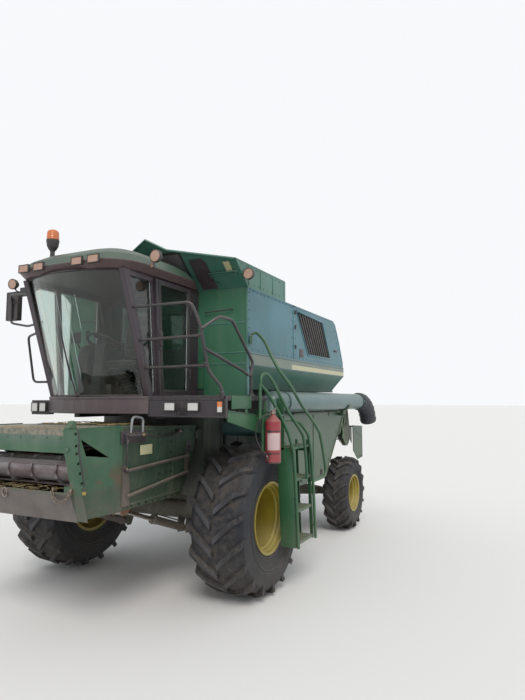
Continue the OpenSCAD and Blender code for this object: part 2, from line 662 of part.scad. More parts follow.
deck_front = 1200;
deck_back = 200;
deck_top = cab_floor;
lamp_box_y = 1060;
module platform() {
    color(charcoal) place() {
        block([deck_back + fit, cab_y + fit, deck_top - deck_t], [deck_front, deck_y, deck_top]);
        block([deck_front - 40, cab_y + fit, deck_top - 230], [deck_front, deck_y, deck_top - deck_t]);
        for (x = [270, 700]) block([x, cab_y + fit, deck_top - 150], [x + 80, deck_y - 20, deck_top - deck_t]);
        both_sides() block([body_front, cab_y - 200, deck_top - base_h - 60], [900, cab_y - 120, deck_top - base_h]);
        block([deck_front - 80, -lamp_box_y, deck_top - 220], [deck_front, -cab_y - fit, deck_top - 45]);
    }
}
rail_stand = rail_d / 2 + 4;
function leaning(y, z) = [deck_front + rail_stand + (z - deck_top) * pillar_lean / (roof_low - deck_top), y, z];
function at_post(z) = [front_post(z) + 40, cab_y - 1, z];
module platform_railing() {
    foot = [deck_front + rail_stand, 1720, deck_top - 25];
    outer = [foot, foot + [0, 0, 100], leaning(1600, 2640), leaning(1600, 3100), leaning(1540, 3320), at_post(3340)];
    color("#26262a") place() {
        bent_tube(smooth(outer, 60), rail_d);
        bar([deck_front + fit, foot.y, foot.z], foot, 24);
        for (z = [2990, 2690]) bent_tube([at_post(z), leaning(1590, z)], rail_d);
        bent_tube(smooth([leaning(1610, 3060), [1330, 1740, 3190], [1060, 1740, 3190], [560, 1740, 2760], [640, 1740, 2600], [820, 1740, 2660], leaning(1610, 2860)], 60), rail_d);
        bent_tube([[590, 1730, 2720], [590, 1730, deck_top]], rail_d);
    }
}

// Ladder outboard of the drive tyre

tyre_out = drive_track / 2 + drive_tyre_w / 2;
ladder_in = tyre_out + 30;
ladder_out = ladder_in + tread_depth;
ladder_foot = first_tread - 50;
ladder_t = 12;
bottle_y = ladder_in + 120;
bottle_d = 180;
bottle_x = 370;
landing = first_tread + 3 * tread_rise;
// Front plate's place at a height: the ladder leans forwards
ladder_lean = 120;
function front_at(z) = ladder_front + (z - first_tread) * ladder_lean / (landing - first_tread);
function rear_at(z) = front_at(z) - ladder_w;
riser_x = front_at(landing);
riser_out = ladder_in + 100;
hanger_x = ladder_front - ladder_w;
step_z = 2160;
module leaning_plate(x_low, x_high, z_high)
    side_prism([[x_low, ladder_foot], [x_low + ladder_t, ladder_foot], [x_high + ladder_t, z_high], [x_high, z_high]], ladder_in, ladder_out);
module tread(z) {
    side_prism([[rear_at(z - 30) + fit, z - 30], [front_at(z - 30) - fit, z - 30], [front_at(z) - fit, z], [rear_at(z) + fit, z]], ladder_in, ladder_out);
    for (k = [0:4]) block([rear_at(z) + 60 + k * 95, ladder_in + 20, z], [rear_at(z) + 100 + k * 95, ladder_out - 20, z + 5]);
}
module ladder_treads() {
    color(green) place() for (i = [0:2]) tread(first_tread + i * tread_rise);
}
module ladder() {
    color(green) place() {
        block([hanger_x, ladder_in, landing - 30], [riser_x + ladder_t, ladder_out, landing]);
        leaning_plate(front_at(ladder_foot), front_at(landing), landing);
        leaning_plate(rear_at(ladder_foot) - ladder_t, rear_at(landing) - ladder_t, landing + 60);
        block([riser_x, ladder_in, landing - 30], [riser_x + ladder_t, riser_out, deck_top - 20]);
        block([riser_x, ladder_in - 200, step_z - 20], [300, riser_out, step_z]);
        block([hanger_x, body_y, landing - 90], [hanger_x + 70, ladder_out, landing - 30]);
        block([160, 1600, step_z], [250, deck_y - 20, deck_top - deck_t]);
        block([bottle_x - 70, ladder_in - 80, step_z - 20], [bottle_x + 70, bottle_y - bottle_d / 2 - fit, step_z]);
        block([bottle_x - 70, ladder_in + 8, 1750], [bottle_x + 70, bottle_y - bottle_d / 2 - fit, step_z - 20]);
        side_prism([[1150, 2228], [1150, 2110], [290, 1930], [290, step_z - 5]], deck_y - ladder_t, deck_y);
        block([640, deck_y + fit, deck_top - 140], [1090, deck_y + 10, deck_top]);
        block([700, deck_y - ladder_t, 2160], [760, deck_y - 4, deck_top - deck_t]);
    }
}
module ladder_handrails() {
    stand = handrail_y;
    beside = ladder_out + tube_d / 2 + 8;
    front_rail = [[484, 1790, 2520], [380, 1840, 2420], [270, 1880, 2270], [160, 1925, 2100], [75, 1965, 1940], [30, beside, 1740],
        [front_at(1400) + 6, beside, 1400], [front_at(ladder_foot) + 6, beside, ladder_foot]];
    middle_rail = [[490, 1790, 2110], [484, 1790, 2500], [470, 1800, 2620], [400, 1825, 2650], [320, 1860, 2580], [170, 1900, 2390],
        [40, 1960, 2180], [-110, 2000, 2030], [-250, stand, 1900], [-310, stand, 1740], [-350, stand, 1500], [-365, stand, 1355]];
    long_rail = [[165, 1503, 3030], [165, 1503, 3120], [120, 1520, 3182], [90, 1580, 3150], [130, 1680, 3050], [230, 1820, 2850],
        [240, 1930, 2670], [90, 2000, 2510], [-225, stand, 2262], [-600, stand, 2060], [-850, stand, 1900], [-950, stand, 1690],
        [-1070, stand, 1400], [-1060, stand, 1320], [-960, stand, 1300], [rear_at(1290), beside, 1290]];
    rear_rail = [[riser_x - fit, 1850, 2090], [-280, 1850, 2090], [-400, 1930, 2040], [-470, beside, 1900], [rear_at(1600) + 10, beside, 1600],
        [rear_at(1200) - 6, beside, 1200], [rear_at(ladder_foot) - 6, beside, ladder_foot]];
    color(green) place() {
        for (rail = [front_rail, middle_rail, long_rail, rear_rail]) bent_tube(smooth(rail, 40, 2), tube_d, 8);
        for (z = [720, 1150]) for (x = [front_at(z) + 6, rear_at(z) - 6]) translate([x, 0, z]) y_bar(22, ladder_out + fit, beside);
        translate([-365, 0, first_tread + 2 * tread_rise - 15]) y_bar(22, ladder_out + fit, stand);
        translate([488, 0, 2125]) y_bar(26, deck_y + fit, 1790);
        translate([165, 0, 3045]) y_bar(26, flank_y + fit, 1503);
    }
}
module fire_extinguisher() {
    color("#b02a30") place() translate([bottle_x, bottle_y, 1620]) {
        cylinder(d = bottle_d, h = 470);
        translate([0, 0, 470]) cylinder(d1 = bottle_d, d2 = 60, h = 70);
        translate([0, 0, 540]) cylinder(d = 50, h = 50);
    }
}

// Lamps and mirror

module beacon() {
    color("#e08a1c") place() translate([beacon_at.x, beacon_at.y, roof_low + beacon_foot + fit]) {
        cylinder(d = 60, h = 130);
        translate([0, 0, 130]) cylinder(d = 150, h = 60);
        translate([0, 0, 190]) cylinder(d1 = 140, d2 = 110, h = 190);
    }
}
// Rectangular lamps: [x, y, z, width, height]
box_lamps = [[deck_front, 1060, 2265, 130, 80], [deck_front, 1360, 2265, 130, 80], [deck_front, deck_y - 60, 2265, 60, 110],
    [deck_front, -850, 2250, 100, 100], [deck_front, -985, 2250, 100, 100],
    for (y = [-515, -285, 285, 515]) [roof_front, y, roof_low + 75, 140, 76]];
lamp_t = 25;
flank_lamp = [300, flank_y + 72, 3872];
work_lamp = [1330, roof_y + 80, 3915];
round_d = 130;
module round_lamp(at) translate(at) rotate([0, 90, 0]) {
    cylinder(d = round_d, h = 34);
    translate([0, 0, -50]) cylinder(d1 = 60, d2 = round_d, h = 50);
}
module lamps() {
    color("ivory") place() {
        for (l = box_lamps) block([l[0] + fit, l[1] - l[3] / 2, l[2] - l[4] / 2], [l[0] + lamp_t, l[1] + l[3] / 2, l[2] + l[4] / 2]);
        both_sides() block([hood_back - lamp_t, 1220, flank_low + 5], [hood_back - fit, 1400, flank_low + 65]);
        round_lamp(flank_lamp);
        translate([flank_lamp.x - 20, 0, flank_lamp.z]) y_bar(24, flank_y + fit, flank_lamp.y - 30);
        round_lamp(work_lamp);
        block([work_lamp.x - 40, roof_y + fit, roof_low + 60], [work_lamp.x, roof_y + 30, work_lamp.z]);
    }
}
mirror_at = [1330, -1370, 3340];
module side_mirror() {
    // Arms that stand on the front post: path of each, with its first point in a round foot
    upper_arm = [[front_post(3600) + 40, -cab_y - 8, 3600], [1480, -1180, 3640], [1400, -1260, 3560], [1400, -1260, 3300],
        [1360, -1000, 3250], [front_post(3250) + 40, -cab_y - 8, 3250]];
    lower_arm = [[front_post(2560) + 40, -cab_y - 8, 2560], [1230, -1010, 2560], [1340, -1010, 3120], [front_post(3150) + 40, -cab_y - 8, 3150]];
    color("#26262a") place() {
        bent_tube(smooth(upper_arm, 50), 28);
        bent_tube(smooth(lower_arm, 60), 30);
        for (z = [3600, 3250, 3150, 2560]) translate([front_post(z) + 40, 0, z]) y_bar(56, -cab_y - 12, -frame_y - fit);
        block(mirror_at, mirror_at + [56, 200, 360]);
        block([1470, -985, 3600], [1510, -885, 3705]);
    }
}

// Unloading auger: an upright pipe, a leaning swivel and the tube laid back along the body

elbow_x = -380;
elbow_z = 1980;
elbow_low = 1845;
swivel = [-sin(swivel_lean), 0, cos(swivel_lean)];
swivel_rise = (auger_z - elbow_z) / swivel.z;
function along_swivel(s) = [elbow_x, auger_y, elbow_z] + swivel * s;
split = swivel_rise / 2;
module auger_base() {
    color(pale_band_colour) place() {
        translate([elbow_x, auger_y, elbow_low]) cylinder(r = auger_r, h = elbow_z - elbow_low);
        translate([elbow_x, auger_y, elbow_z]) sphere(r = auger_r + 2);
        bar(along_swivel(0), along_swivel(split - 10), 2 * auger_r);
        bar(along_swivel(split - 15), along_swivel(split - fit / 2), 2 * auger_r + 60);
        translate([elbow_x, 0, elbow_low + 110]) y_bar(200, body_y, auger_y);
    }
}
module auger_tube() {
    color(pale_band_colour) place() {
        bar(along_swivel(split + fit / 2), along_swivel(split + 15), 2 * auger_r + 60);
        bar(along_swivel(split + 10), along_swivel(swivel_rise), 2 * auger_r);
        translate(along_swivel(swivel_rise)) sphere(r = auger_r + 2);
        bar(along_swivel(swivel_rise), [auger_back, auger_y, auger_z], 2 * auger_r);
    }
}
module auger_spout() {
    route = [[auger_back + 60, auger_y, auger_z], [auger_back - 260, auger_y, auger_z], [auger_back - 620, auger_y, auger_z - 150], [auger_back - 760, auger_y, auger_z - 400]];
    color("#1f1f21") place() difference() {
        bent_tube(smooth(route, 150, 4), 2 * auger_r + 40, 20);
        bar([auger_back - 1, auger_y, auger_z], [auger_back + 70, auger_y, auger_z], 2 * auger_r + fit);
    }
}

// Feeder house, which hinges at the body's front

lift_eye = [1300, 1130];
house_front = 1600;
house_low = 1200;
house_top = [2020, 2060];
house_outline = [[215, house_top[0]], [house_front, house_top[1]], [house_front, house_low], [530, house_low], [360, 1500], [250, 1760]];
boss_in = 60;
module feeder_house() {
    hollow_front = house_front + 100;
    color(green) place() difference() {
        union() {
            side_prism(house_outline, -feeder_y, feeder_y);
            both_sides() {
                translate([feeder_hinge.x, 0, feeder_hinge.y]) y_bar(hinge_boss_d, feeder_y - boss_in, feeder_y);
                ears([[lift_eye.x - 120, house_low], [lift_eye.x + 120, house_low], [lift_eye.x + 40, lift_eye.y - 50], [lift_eye.x - 40, lift_eye.y - 50]]);
                ear_pin(lift_eye, eye_pin);
            }
        }
        side_prism([[0, house_top[0] - plate], [hollow_front, house_top[1] - plate], [hollow_front, house_low + plate],
            [530 + plate, house_low + plate], [250 + plate, 1760], [0, 1760]], -feeder_y + boss_in + 2, feeder_y - boss_in - 2);
        side_prism([[300, house_top[0] - plate], [hollow_front, house_top[1] - plate], [hollow_front, house_low + plate],
            [530 + plate, house_low + plate], [300, 1700]], -feeder_y + plate, feeder_y - plate);
        both_sides() translate([feeder_hinge.x, 0, feeder_hinge.y]) y_bar(feeder_pin_d + 0.1, feeder_y - 52, feeder_y + 1);
    }
}
frame_plate = 14;
frame_top = 2070;
frame_back = house_front + fit;
lock_pin = [2180, 1290];
// Front edge of the header frame, from its top: [x, z]
frame_edge = [[frame_front, frame_top], [frame_front - 20, 1850], [2200, 1210]];
flange_w = 110;
function back_by(points, d) = [for (p = points) p - [d, 0]];
function turned(points) = [for (i = [len(points) - 1:-1:0]) points[i]];
module header_frame() {
    inner = feeder_y - frame_plate;
    color(green) place() {
        both_sides() {
            difference() {
                side_prism([[frame_back, frame_top], frame_edge[0], frame_edge[1], frame_edge[2], [frame_back, 1190]], inner, feeder_y);
                side_prism([[2190, 1965], [2120, 1800], [1800, 1760]], inner - 1, feeder_y + 1);
            }
            side_prism(concat(frame_edge, turned(back_by(frame_edge, frame_plate))), feeder_y, feeder_y + flange_w);
            side_prism([frame_edge[0], frame_edge[1], [2290, 1530], [2230, 1530], frame_edge[1] - [70, 0], frame_edge[0] - [70, 0]],
                feeder_y + flange_w - 12, feeder_y + flange_w);
            block([2150, inner - 110, 1400], [2262, inner, 1530]);
            translate([lock_pin.x, 0, lock_pin.y]) y_bar(lock_d, feeder_y, feeder_y + lock_l);
        }
        side_prism([[frame_front - 160, 1960], [frame_front - 160, frame_top], frame_edge[0], frame_edge[1], frame_edge[1] - [40, 0]], -inner, inner);
        side_prism([[2000, 1230], [2190, 1196], [2240, 1330], [2296, 1466], [2268, 1476], [2206, 1350], [2170, 1240], [2000, 1262]], -inner, inner);
        block([frame_back, -inner, 2040], [frame_front - 160, inner, 2060]);
        block([frame_back, -inner, 1200], [2000, inner, 1220]);
        block([1980, -inner, 1200], [2020, inner, 1262]);
    }
}
front_drum = [1960, 1650];
rear_drum = [560, 1760];
rear_drum_r = drum_r - 20;
// Chains of the conveyor: places across, half height of a link, stations along a straight run
chain_places = [-340, 0, 340];
chain_w = 30;
link_h = 12;
run_links = 13;
chain_lift = 14;
slat_len = 1360;
chain_lean = atan2(front_drum.y - rear_drum.y, front_drum.x - rear_drum.x);
function on_circle(c, r, a) = c + r * [cos(a), sin(a)];
// Middle line of a chain with its heading: round the front drum, back below, round the rear drum, forwards on top
chain_line = let (rf = drum_r + chain_lift, rr = rear_drum_r + chain_lift, up = chain_lean + 90) concat(
    [for (k = [0:6]) [on_circle(front_drum, rf, up - 30 * k), up - 30 * k]],
    [for (k = [1:run_links - 1]) [along(on_circle(front_drum, rf, up - 180), on_circle(rear_drum, rr, up - 180), k / run_links), up - 180]],
    [for (k = [0:6]) [on_circle(rear_drum, rr, up - 180 - 30 * k), up - 180 - 30 * k]],
    [for (k = [1:run_links - 1]) [along(on_circle(rear_drum, rr, up), on_circle(front_drum, rf, up), k / run_links), up]]);
function chain_edge(side) = [for (i = [0:len(chain_line) - 1]) for (half = [0, 0.5])
    let (now = chain_line[i], next = chain_line[(i + 1) % len(chain_line)], h = half == 0 ? link_h : link_h * 0.6)
        on_circle(along(now[0], next[0], half), side * h, now[1] - (half == 0 ? 0 : 7))];
module feeder_conveyor() {
    drum_len = feeder_y - frame_plate - fit;
    color(worn_steel) place() {
        translate([front_drum.x, 0, front_drum.y]) {
            y_bar(2 * drum_r, -drum_len, drum_len);
            for (y = chain_places) y_bar(2 * (drum_r + chain_lift), y - 6, y + 6);
        }
        translate([rear_drum.x, 0, rear_drum.y]) {
            y_bar(2 * rear_drum_r, -feeder_y + plate + fit, feeder_y - plate - fit);
            for (y = chain_places) y_bar(2 * (rear_drum_r + chain_lift), y - 6, y + 6);
        }
        for (y = chain_places) translate([0, y + chain_w / 2, 0]) rotate([90, 0, 0]) linear_extrude(chain_w) difference() {
            polygon(chain_edge(1));
            polygon(chain_edge(-1));
        }
        for (i = [2:4:len(chain_line) - 1]) translate([chain_line[i][0].x, 0, chain_line[i][0].y]) rotate([0, 90 - chain_line[i][1], 0])
            block([-22, -slat_len / 2, link_h - 3], [22, slat_len / 2, link_h + 14]);
    }
}
module feeder_links() {
    color("#5b4a3e") place() both_sides() {
        side_prism([[1500, 1240], [1610, 1240], [1610, 1640], [1540, 1660], [1500, 1500]], feeder_y + fit, feeder_y + 20);
        for (z = [[1660, 1600], [1470, 1340]]) bar([430, feeder_y + 34, z[0]], [1560, feeder_y + 34, z[1]], 40);
        block([420, feeder_y + fit, 1440], [470, feeder_y + 30, 1700]);
    }
}
handle_path = [[1300, 1960], [1290, 2140], [1470, 2160], [1500, 1960]];
module coupler_handle() {
    color("silver") place() bent_tube(smooth([for (p = handle_path) [p[0], feeder_y + 14 + fit, p[1]]], 50), 28);
}

module on_lift_line() {
    translate([lift_base.x, 0, lift_base.y]) rotate([0, -atan2(lift_eye.y - lift_base.y, lift_eye.x - lift_base.x), 0]) children();
}
lift_reach = norm(lift_eye - lift_base);
barrel_end = 712;
rod_tail = 625;
eye_w = 2 * ear_gap - 4;
module lift_barrels() {
    color("#2e2e30") place() both_sides() translate([0, lift_y, 0]) on_lift_line() difference() {
        union() {
            rotate([90, 0, 0]) cylinder(d = 76, h = eye_w, center = true);
            translate([30, 0, 0]) rotate([0, 90, 0]) cylinder(d = lift_d, h = barrel_end - 30);
        }
        rotate([90, 0, 0]) cylinder(d = lift_pin + 0.1, h = eye_w + 2, center = true);
        translate([70, 0, 0]) rotate([0, 90, 0]) cylinder(d = lift_rod_d + 0.1, h = barrel_end);
    }
}
module lift_rods() {
    color("silver") place() both_sides() translate([0, lift_y, 0]) on_lift_line() difference() {
        union() {
            translate([rod_tail, 0, 0]) rotate([0, 90, 0]) cylinder(d = lift_rod_d, h = lift_reach - rod_tail - 40);
            translate([lift_reach, 0, 0]) rotate([90, 0, 0]) cylinder(d = 100, h = eye_w, center = true);
        }
        translate([lift_reach, 0, 0]) rotate([90, 0, 0]) cylinder(d = 70, h = eye_w + 2, center = true);
    }
}

threshing_body();
front_axle();
rear_axle();
grain_tank();
tank_extension();
engine_hood();
engine_grilles();
engine_block();
lower_fairing();
flank_band();
side_shields();
straw_hood();
straw_chopper();
straw_deflector();
rear_drives();
cab_base();
cab_frame();
cab_roof();
windscreen();
cab_glass();
seat();
steering_column();
door_frame();
door_glass();
platform();
platform_railing();
ladder();
ladder_treads();
ladder_handrails();
fire_extinguisher();
beacon();
lamps();
side_mirror();
auger_base();
auger_tube();
auger_spout();
feeder_house();
header_frame();
feeder_conveyor();
feeder_links();
coupler_handle();
lift_barrels();
lift_rods();
knuckle_left();
knuckle_right();
drive_tyre_left();
drive_tyre_right();
drive_rim_left();
drive_rim_right();
steer_tyre_left();
steer_tyre_right();
steer_rim_left();
steer_rim_right();
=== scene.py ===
import math

import bmesh
import bpy
from mathutils import Matrix, Vector


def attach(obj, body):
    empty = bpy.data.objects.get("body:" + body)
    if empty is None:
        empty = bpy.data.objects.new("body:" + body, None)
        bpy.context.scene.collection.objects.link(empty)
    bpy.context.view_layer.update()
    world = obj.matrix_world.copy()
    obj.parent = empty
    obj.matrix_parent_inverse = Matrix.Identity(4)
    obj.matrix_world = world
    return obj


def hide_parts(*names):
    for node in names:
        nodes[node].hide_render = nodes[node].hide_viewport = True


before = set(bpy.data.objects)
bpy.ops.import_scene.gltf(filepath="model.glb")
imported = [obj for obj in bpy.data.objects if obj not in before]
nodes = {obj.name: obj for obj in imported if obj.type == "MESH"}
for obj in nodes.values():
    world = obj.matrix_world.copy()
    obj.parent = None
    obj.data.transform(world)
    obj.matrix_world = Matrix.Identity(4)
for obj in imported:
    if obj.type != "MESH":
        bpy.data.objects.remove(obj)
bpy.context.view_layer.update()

# The stage: a pale floor on which the machine stands, a soft sky and two broad lamps.
# The camera stands where the photographer stood, ahead of the left drive wheel.
FLOOR_REACH = 260.0
FLOOR_SHADE = (0.80, 0.79, 0.77, 1.0)
EYE = (7.653, 4.407, 2.333)
EYE_YAW = 26.06
EYE_PITCH = 5.31
LENS = 27.82
SENSOR_WIDTH = 36.0
SIGHT_END = 1000.0

floor_mesh = bpy.data.meshes.new("floor")
floor_corners = [(x * FLOOR_REACH, y * FLOOR_REACH, 0.0) for x, y in ((-1, -1), (1, -1), (1, 1), (-1, 1))]
floor_mesh.from_pydata(floor_corners, [], [(0, 1, 2, 3)])
floor = bpy.data.objects.new("floor", floor_mesh)
bpy.context.scene.collection.objects.link(floor)
floor_finish = bpy.data.materials.new("pale_floor")
floor_finish.use_nodes = True
floor_shader = floor_finish.node_tree.nodes["Principled BSDF"]
floor_shader.inputs["Base Color"].default_value = FLOOR_SHADE
floor_shader.inputs["Roughness"].default_value = 0.9
floor_mesh.materials.append(floor_finish)

world = bpy.data.worlds.new("soft_sky")
bpy.context.scene.world = world
world.use_nodes = True
sky = world.node_tree
sky_light = sky.nodes["Background"]
sky_light.inputs["Color"].default_value = (0.93, 0.96, 1.0, 1.0)
sky_light.inputs["Strength"].default_value = 0.72
sky_seen = sky.nodes.new("ShaderNodeBackground")
sky_seen.inputs["Color"].default_value = (0.94, 0.95, 0.97, 1.0)
sky_path = sky.nodes.new("ShaderNodeLightPath")
sky_mix = sky.nodes.new("ShaderNodeMixShader")
seen = sky_path.outputs["Is Camera Ray"]
for kind in ("Is Glossy Ray", "Is Transmission Ray"):
    either = sky.nodes.new("ShaderNodeMath")
    either.operation = "MAXIMUM"
    sky.links.new(seen, either.inputs[0])
    sky.links.new(sky_path.outputs[kind], either.inputs[1])
    seen = either.outputs[0]
sky.links.new(seen, sky_mix.inputs[0])
sky.links.new(sky_light.outputs[0], sky_mix.inputs[1])
sky.links.new(sky_seen.outputs[0], sky_mix.inputs[2])
sky.links.new(sky_mix.outputs[0], sky.nodes["World Output"].inputs["Surface"])


def lamp(name, towards, strength, width, colour):
    """A broad lamp far away, shining in a direction."""
    data = bpy.data.lights.new(name, "SUN")
    data.energy = strength
    data.angle = math.radians(width)
    data.color = colour
    obj = bpy.data.objects.new(name, data)
    obj.rotation_euler = Vector(towards).to_track_quat("-Z", "Y").to_euler()
    bpy.context.scene.collection.objects.link(obj)


lamp("key_lamp", (-0.75, -0.45, -0.9), 1.5, 25, (1.0, 0.97, 0.92))
lamp("side_lamp", (0.2, -1.0, -0.35), 0.35, 60, (0.95, 0.98, 1.0))

camera = bpy.data.objects.new("camera", bpy.data.cameras.new("camera"))
yaw, pitch = math.radians(EYE_YAW), math.radians(EYE_PITCH)
sight = Vector((-math.cos(yaw) * math.cos(pitch), -math.sin(yaw) * math.cos(pitch), math.sin(pitch)))
camera.location = EYE
camera.rotation_euler = sight.to_track_quat("-Z", "Y").to_euler()
camera.data.lens = LENS
camera.data.sensor_width = SENSOR_WIDTH
camera.data.clip_end = SIGHT_END
bpy.context.scene.collection.objects.link(camera)
bpy.context.scene.camera = camera
bpy.context.scene.view_settings.view_transform = "Standard"

# The hoses: black rubber, one on the fire extinguisher and two on the hydraulic coupler.
# Each leaves its outlet straight, hangs under its own weight and ends in a fitting on the machine.
ORIGIN_X = 1.580
ORIGIN_Y = -0.147
HOSE_POINTS = 32


def at(x, y, z):
    """A place on the machine in millimetres: ahead of the drive axle, left of the middle, above ground."""
    return Vector((x / 1000 + ORIGIN_X, y / 1000 + ORIGIN_Y, z / 1000))


def feed(tree, made, values):
    """Sets up a node: types each value in, or links it where it comes out of another node."""
    for key, value in values.items():
        label = key.replace("_", " ")
        if label not in made.inputs:
            setattr(made, key, value)
        elif isinstance(value, bpy.types.NodeSocket):
            tree.links.new(value, made.inputs[label])
        else:
            made.inputs[label].default_value = value


def node(tree, kind, **values):
    """A new node with its values and links."""
    made = tree.nodes.new(kind)
    feed(tree, made, values)
    return made


def shaded(tree, **values):
    """Feeds the surface of a finish."""
    feed(tree, tree.nodes["Principled BSDF"], values)


def axes(tree, vector):
    """The three parts of a vector, under the names of their axes."""
    return node(tree, "ShaderNodeSeparateXYZ", Vector=vector).outputs


NOISE_ROUGHNESS = 0.55


def noise(tree, coords, scale, detail, stretch=None):
    """A noise texture on the piece's own coordinates, stretched by the given factors."""
    if stretch:
        coords = node(tree, "ShaderNodeMapping", Vector=coords, Scale=stretch).outputs["Vector"]
    made = node(tree, "ShaderNodeTexNoise", Vector=coords, Scale=scale, Detail=detail,
                Roughness=NOISE_ROUGHNESS)
    return made.outputs["Fac"]


def spread(tree, value, low, high, to_low=0.0, to_high=1.0):
    """A value moved from one range to another, and kept inside it."""
    made = node(tree, "ShaderNodeMapRange")
    for index, number in ((1, low), (2, high), (3, to_low), (4, to_high)):
        made.inputs[index].default_value = number
    tree.links.new(value, made.inputs[0])
    return made.outputs[0]


def patches(tree, coords, scale, detail, low, high):
    """Patches of noise with soft edges: none below the low value, full above the high one."""
    return spread(tree, noise(tree, coords, scale, detail), low, high)


def maths(tree, what, a, b, clamp=True):
    """A sum, product or the like of two values, kept between 0 and 1 unless told otherwise."""
    made = node(tree, "ShaderNodeMath", operation=what, use_clamp=clamp)
    for index, value in enumerate((a, b)):
        if isinstance(value, float):
            made.inputs[index].default_value = value
        else:
            tree.links.new(value, made.inputs[index])
    return made.outputs[0]


def blended(tree, share, a, b):
    """One colour or another, by a share."""
    made = node(tree, "ShaderNodeMix", data_type="RGBA")
    tree.links.new(share, made.inputs[0])
    for index, value in ((6, a), (7, b)):
        if isinstance(value, tuple):
            made.inputs[index].default_value = (*value, 1.0)
        else:
            tree.links.new(value, made.inputs[index])
    return made.outputs[2]


def started(name):
    """A new finish, with its node tree, its texture coordinates and its places on the piece."""
    finish = bpy.data.materials.new(name)
    finish.use_nodes = True
    tree = finish.node_tree
    place = node(tree, "ShaderNodeTexCoord")
    return finish, tree, place, place.outputs["Object"]


DUST = (0.36, 0.31, 0.235)
BARE = (0.17, 0.15, 0.135)


def coated(tree, place, painted, dust=0.5, gloss=0.38, low_dust=1.6, metal=0.0, chipped=0.5, grit=260.0):
    """Dust on upward faces and near the ground, streaks below edges, and edges worn through the coat."""
    spot = place.outputs["Object"]
    streak = spread(tree, noise(tree, spot, 1.0, 3.0, (9.0, 9.0, 0.55)), 0.48, 0.72)
    speck = spread(tree, noise(tree, spot, 34.0, 4.0), 0.35, 0.7, 0.45, 1.0)
    up = spread(tree, axes(tree, place.outputs["Normal"])["Z"], 0.15, 0.9, 0.0, 0.85)
    low = spread(tree, axes(tree, spot)["Z"], low_dust, 0.3, 0.0, 0.75)
    soil = maths(tree, "ADD", maths(tree, "ADD", up, low), maths(tree, "MULTIPLY", streak, 0.22))
    soil = maths(tree, "MULTIPLY", maths(tree, "MULTIPLY", soil, speck), dust)
    rounded = node(tree, "ShaderNodeBevel", samples=4, Radius=0.007)
    flat = node(tree, "ShaderNodeNewGeometry")
    turn = node(tree, "ShaderNodeVectorMath", operation="DOT_PRODUCT")
    tree.links.new(rounded.outputs[0], turn.inputs[0])
    tree.links.new(flat.outputs["Normal"], turn.inputs[1])
    chips = patches(tree, spot, 21.0, 4.0, 0.50, 0.62)
    edge = maths(tree, "MULTIPLY", spread(tree, turn.outputs["Value"], 0.985, 0.86), chips)
    shown = blended(tree, maths(tree, "MULTIPLY", edge, chipped), painted, BARE)
    dent = node(tree, "ShaderNodeBump", Strength=0.12, Distance=0.02, Height=noise(tree, spot, 2.2, 2.0),
                Normal=rounded.outputs[0])
    grain = node(tree, "ShaderNodeBump", Strength=0.08, Distance=0.002, Height=noise(tree, spot, grit, 2.0),
                 Normal=dent.outputs[0])
    shaded(tree, Base_Color=blended(tree, soil, shown, DUST), Metallic=metal, Normal=grain.outputs[0],
           Roughness=spread(tree, soil, 0.0, 0.8, gloss, 0.88))
    return grain


def enamel(name, colour, faded, **wear_and_dust):
    """Old machine enamel with blotchy fading."""
    finish, tree, place, spot = started(name)
    fade = patches(tree, spot, 1.1, 4.0, 0.38, 0.66)
    coated(tree, place, blended(tree, fade, colour, faded), **wear_and_dust)
    return finish


def flowing(knots, count):
    """A smooth line through the knots, cut into even steps."""
    spots = [at(*knot) for knot in knots]
    spots = [2 * spots[0] - spots[1]] + spots + [2 * spots[-1] - spots[-2]]
    fine = []
    for before, here, ahead, after in zip(spots, spots[1:], spots[2:], spots[3:]):
        for k in range(24):
            t = k / 24
            line = 2 * here + (ahead - before) * t + (2 * before - 5 * here + 4 * ahead - after) * t * t
            fine.append((line + (3 * here - before - 3 * ahead + after) * t ** 3) / 2)
    fine.append(spots[-2])
    runs = [0.0]
    for start, end in zip(fine, fine[1:]):
        runs.append(runs[-1] + (end - start).length)
    even = []
    step = 0
    for i in range(count):
        goal = runs[-1] * i / (count - 1)
        while step < len(runs) - 2 and runs[step + 1] < goal:
            step += 1
        even.append(fine[step].lerp(fine[step + 1], (goal - runs[step]) / (runs[step + 1] - runs[step])))
    return even


def add_tube(bm, line, radius, sky_tinted_sides=10):
    """A round tube with closed ends along a line of points, in metres."""
    rings = []
    side = None
    for i, spot in enumerate(line):
        heading = (line[min(i + 1, len(line) - 1)] - line[max(i - 1, 0)]).normalized()
        side = heading.orthogonal() if side is None else side
        side = (side - heading * side.dot(heading)).normalized()
        other = heading.cross(side)
        turns = [2 * math.pi * k / sky_tinted_sides for k in range(sky_tinted_sides)]
        ring = [spot + (side * math.cos(a) + other * math.sin(a)) * radius for a in turns]
        rings.append([bm.verts.new(place) for place in ring])
    for lower, upper in zip(rings, rings[1:]):
        for k in range(sky_tinted_sides):
            bm.faces.new((lower[k], lower[(k + 1) % sky_tinted_sides], upper[(k + 1) % sky_tinted_sides], upper[k]))
    bm.faces.new(list(reversed(rings[0])))
    bm.faces.new(rings[-1])


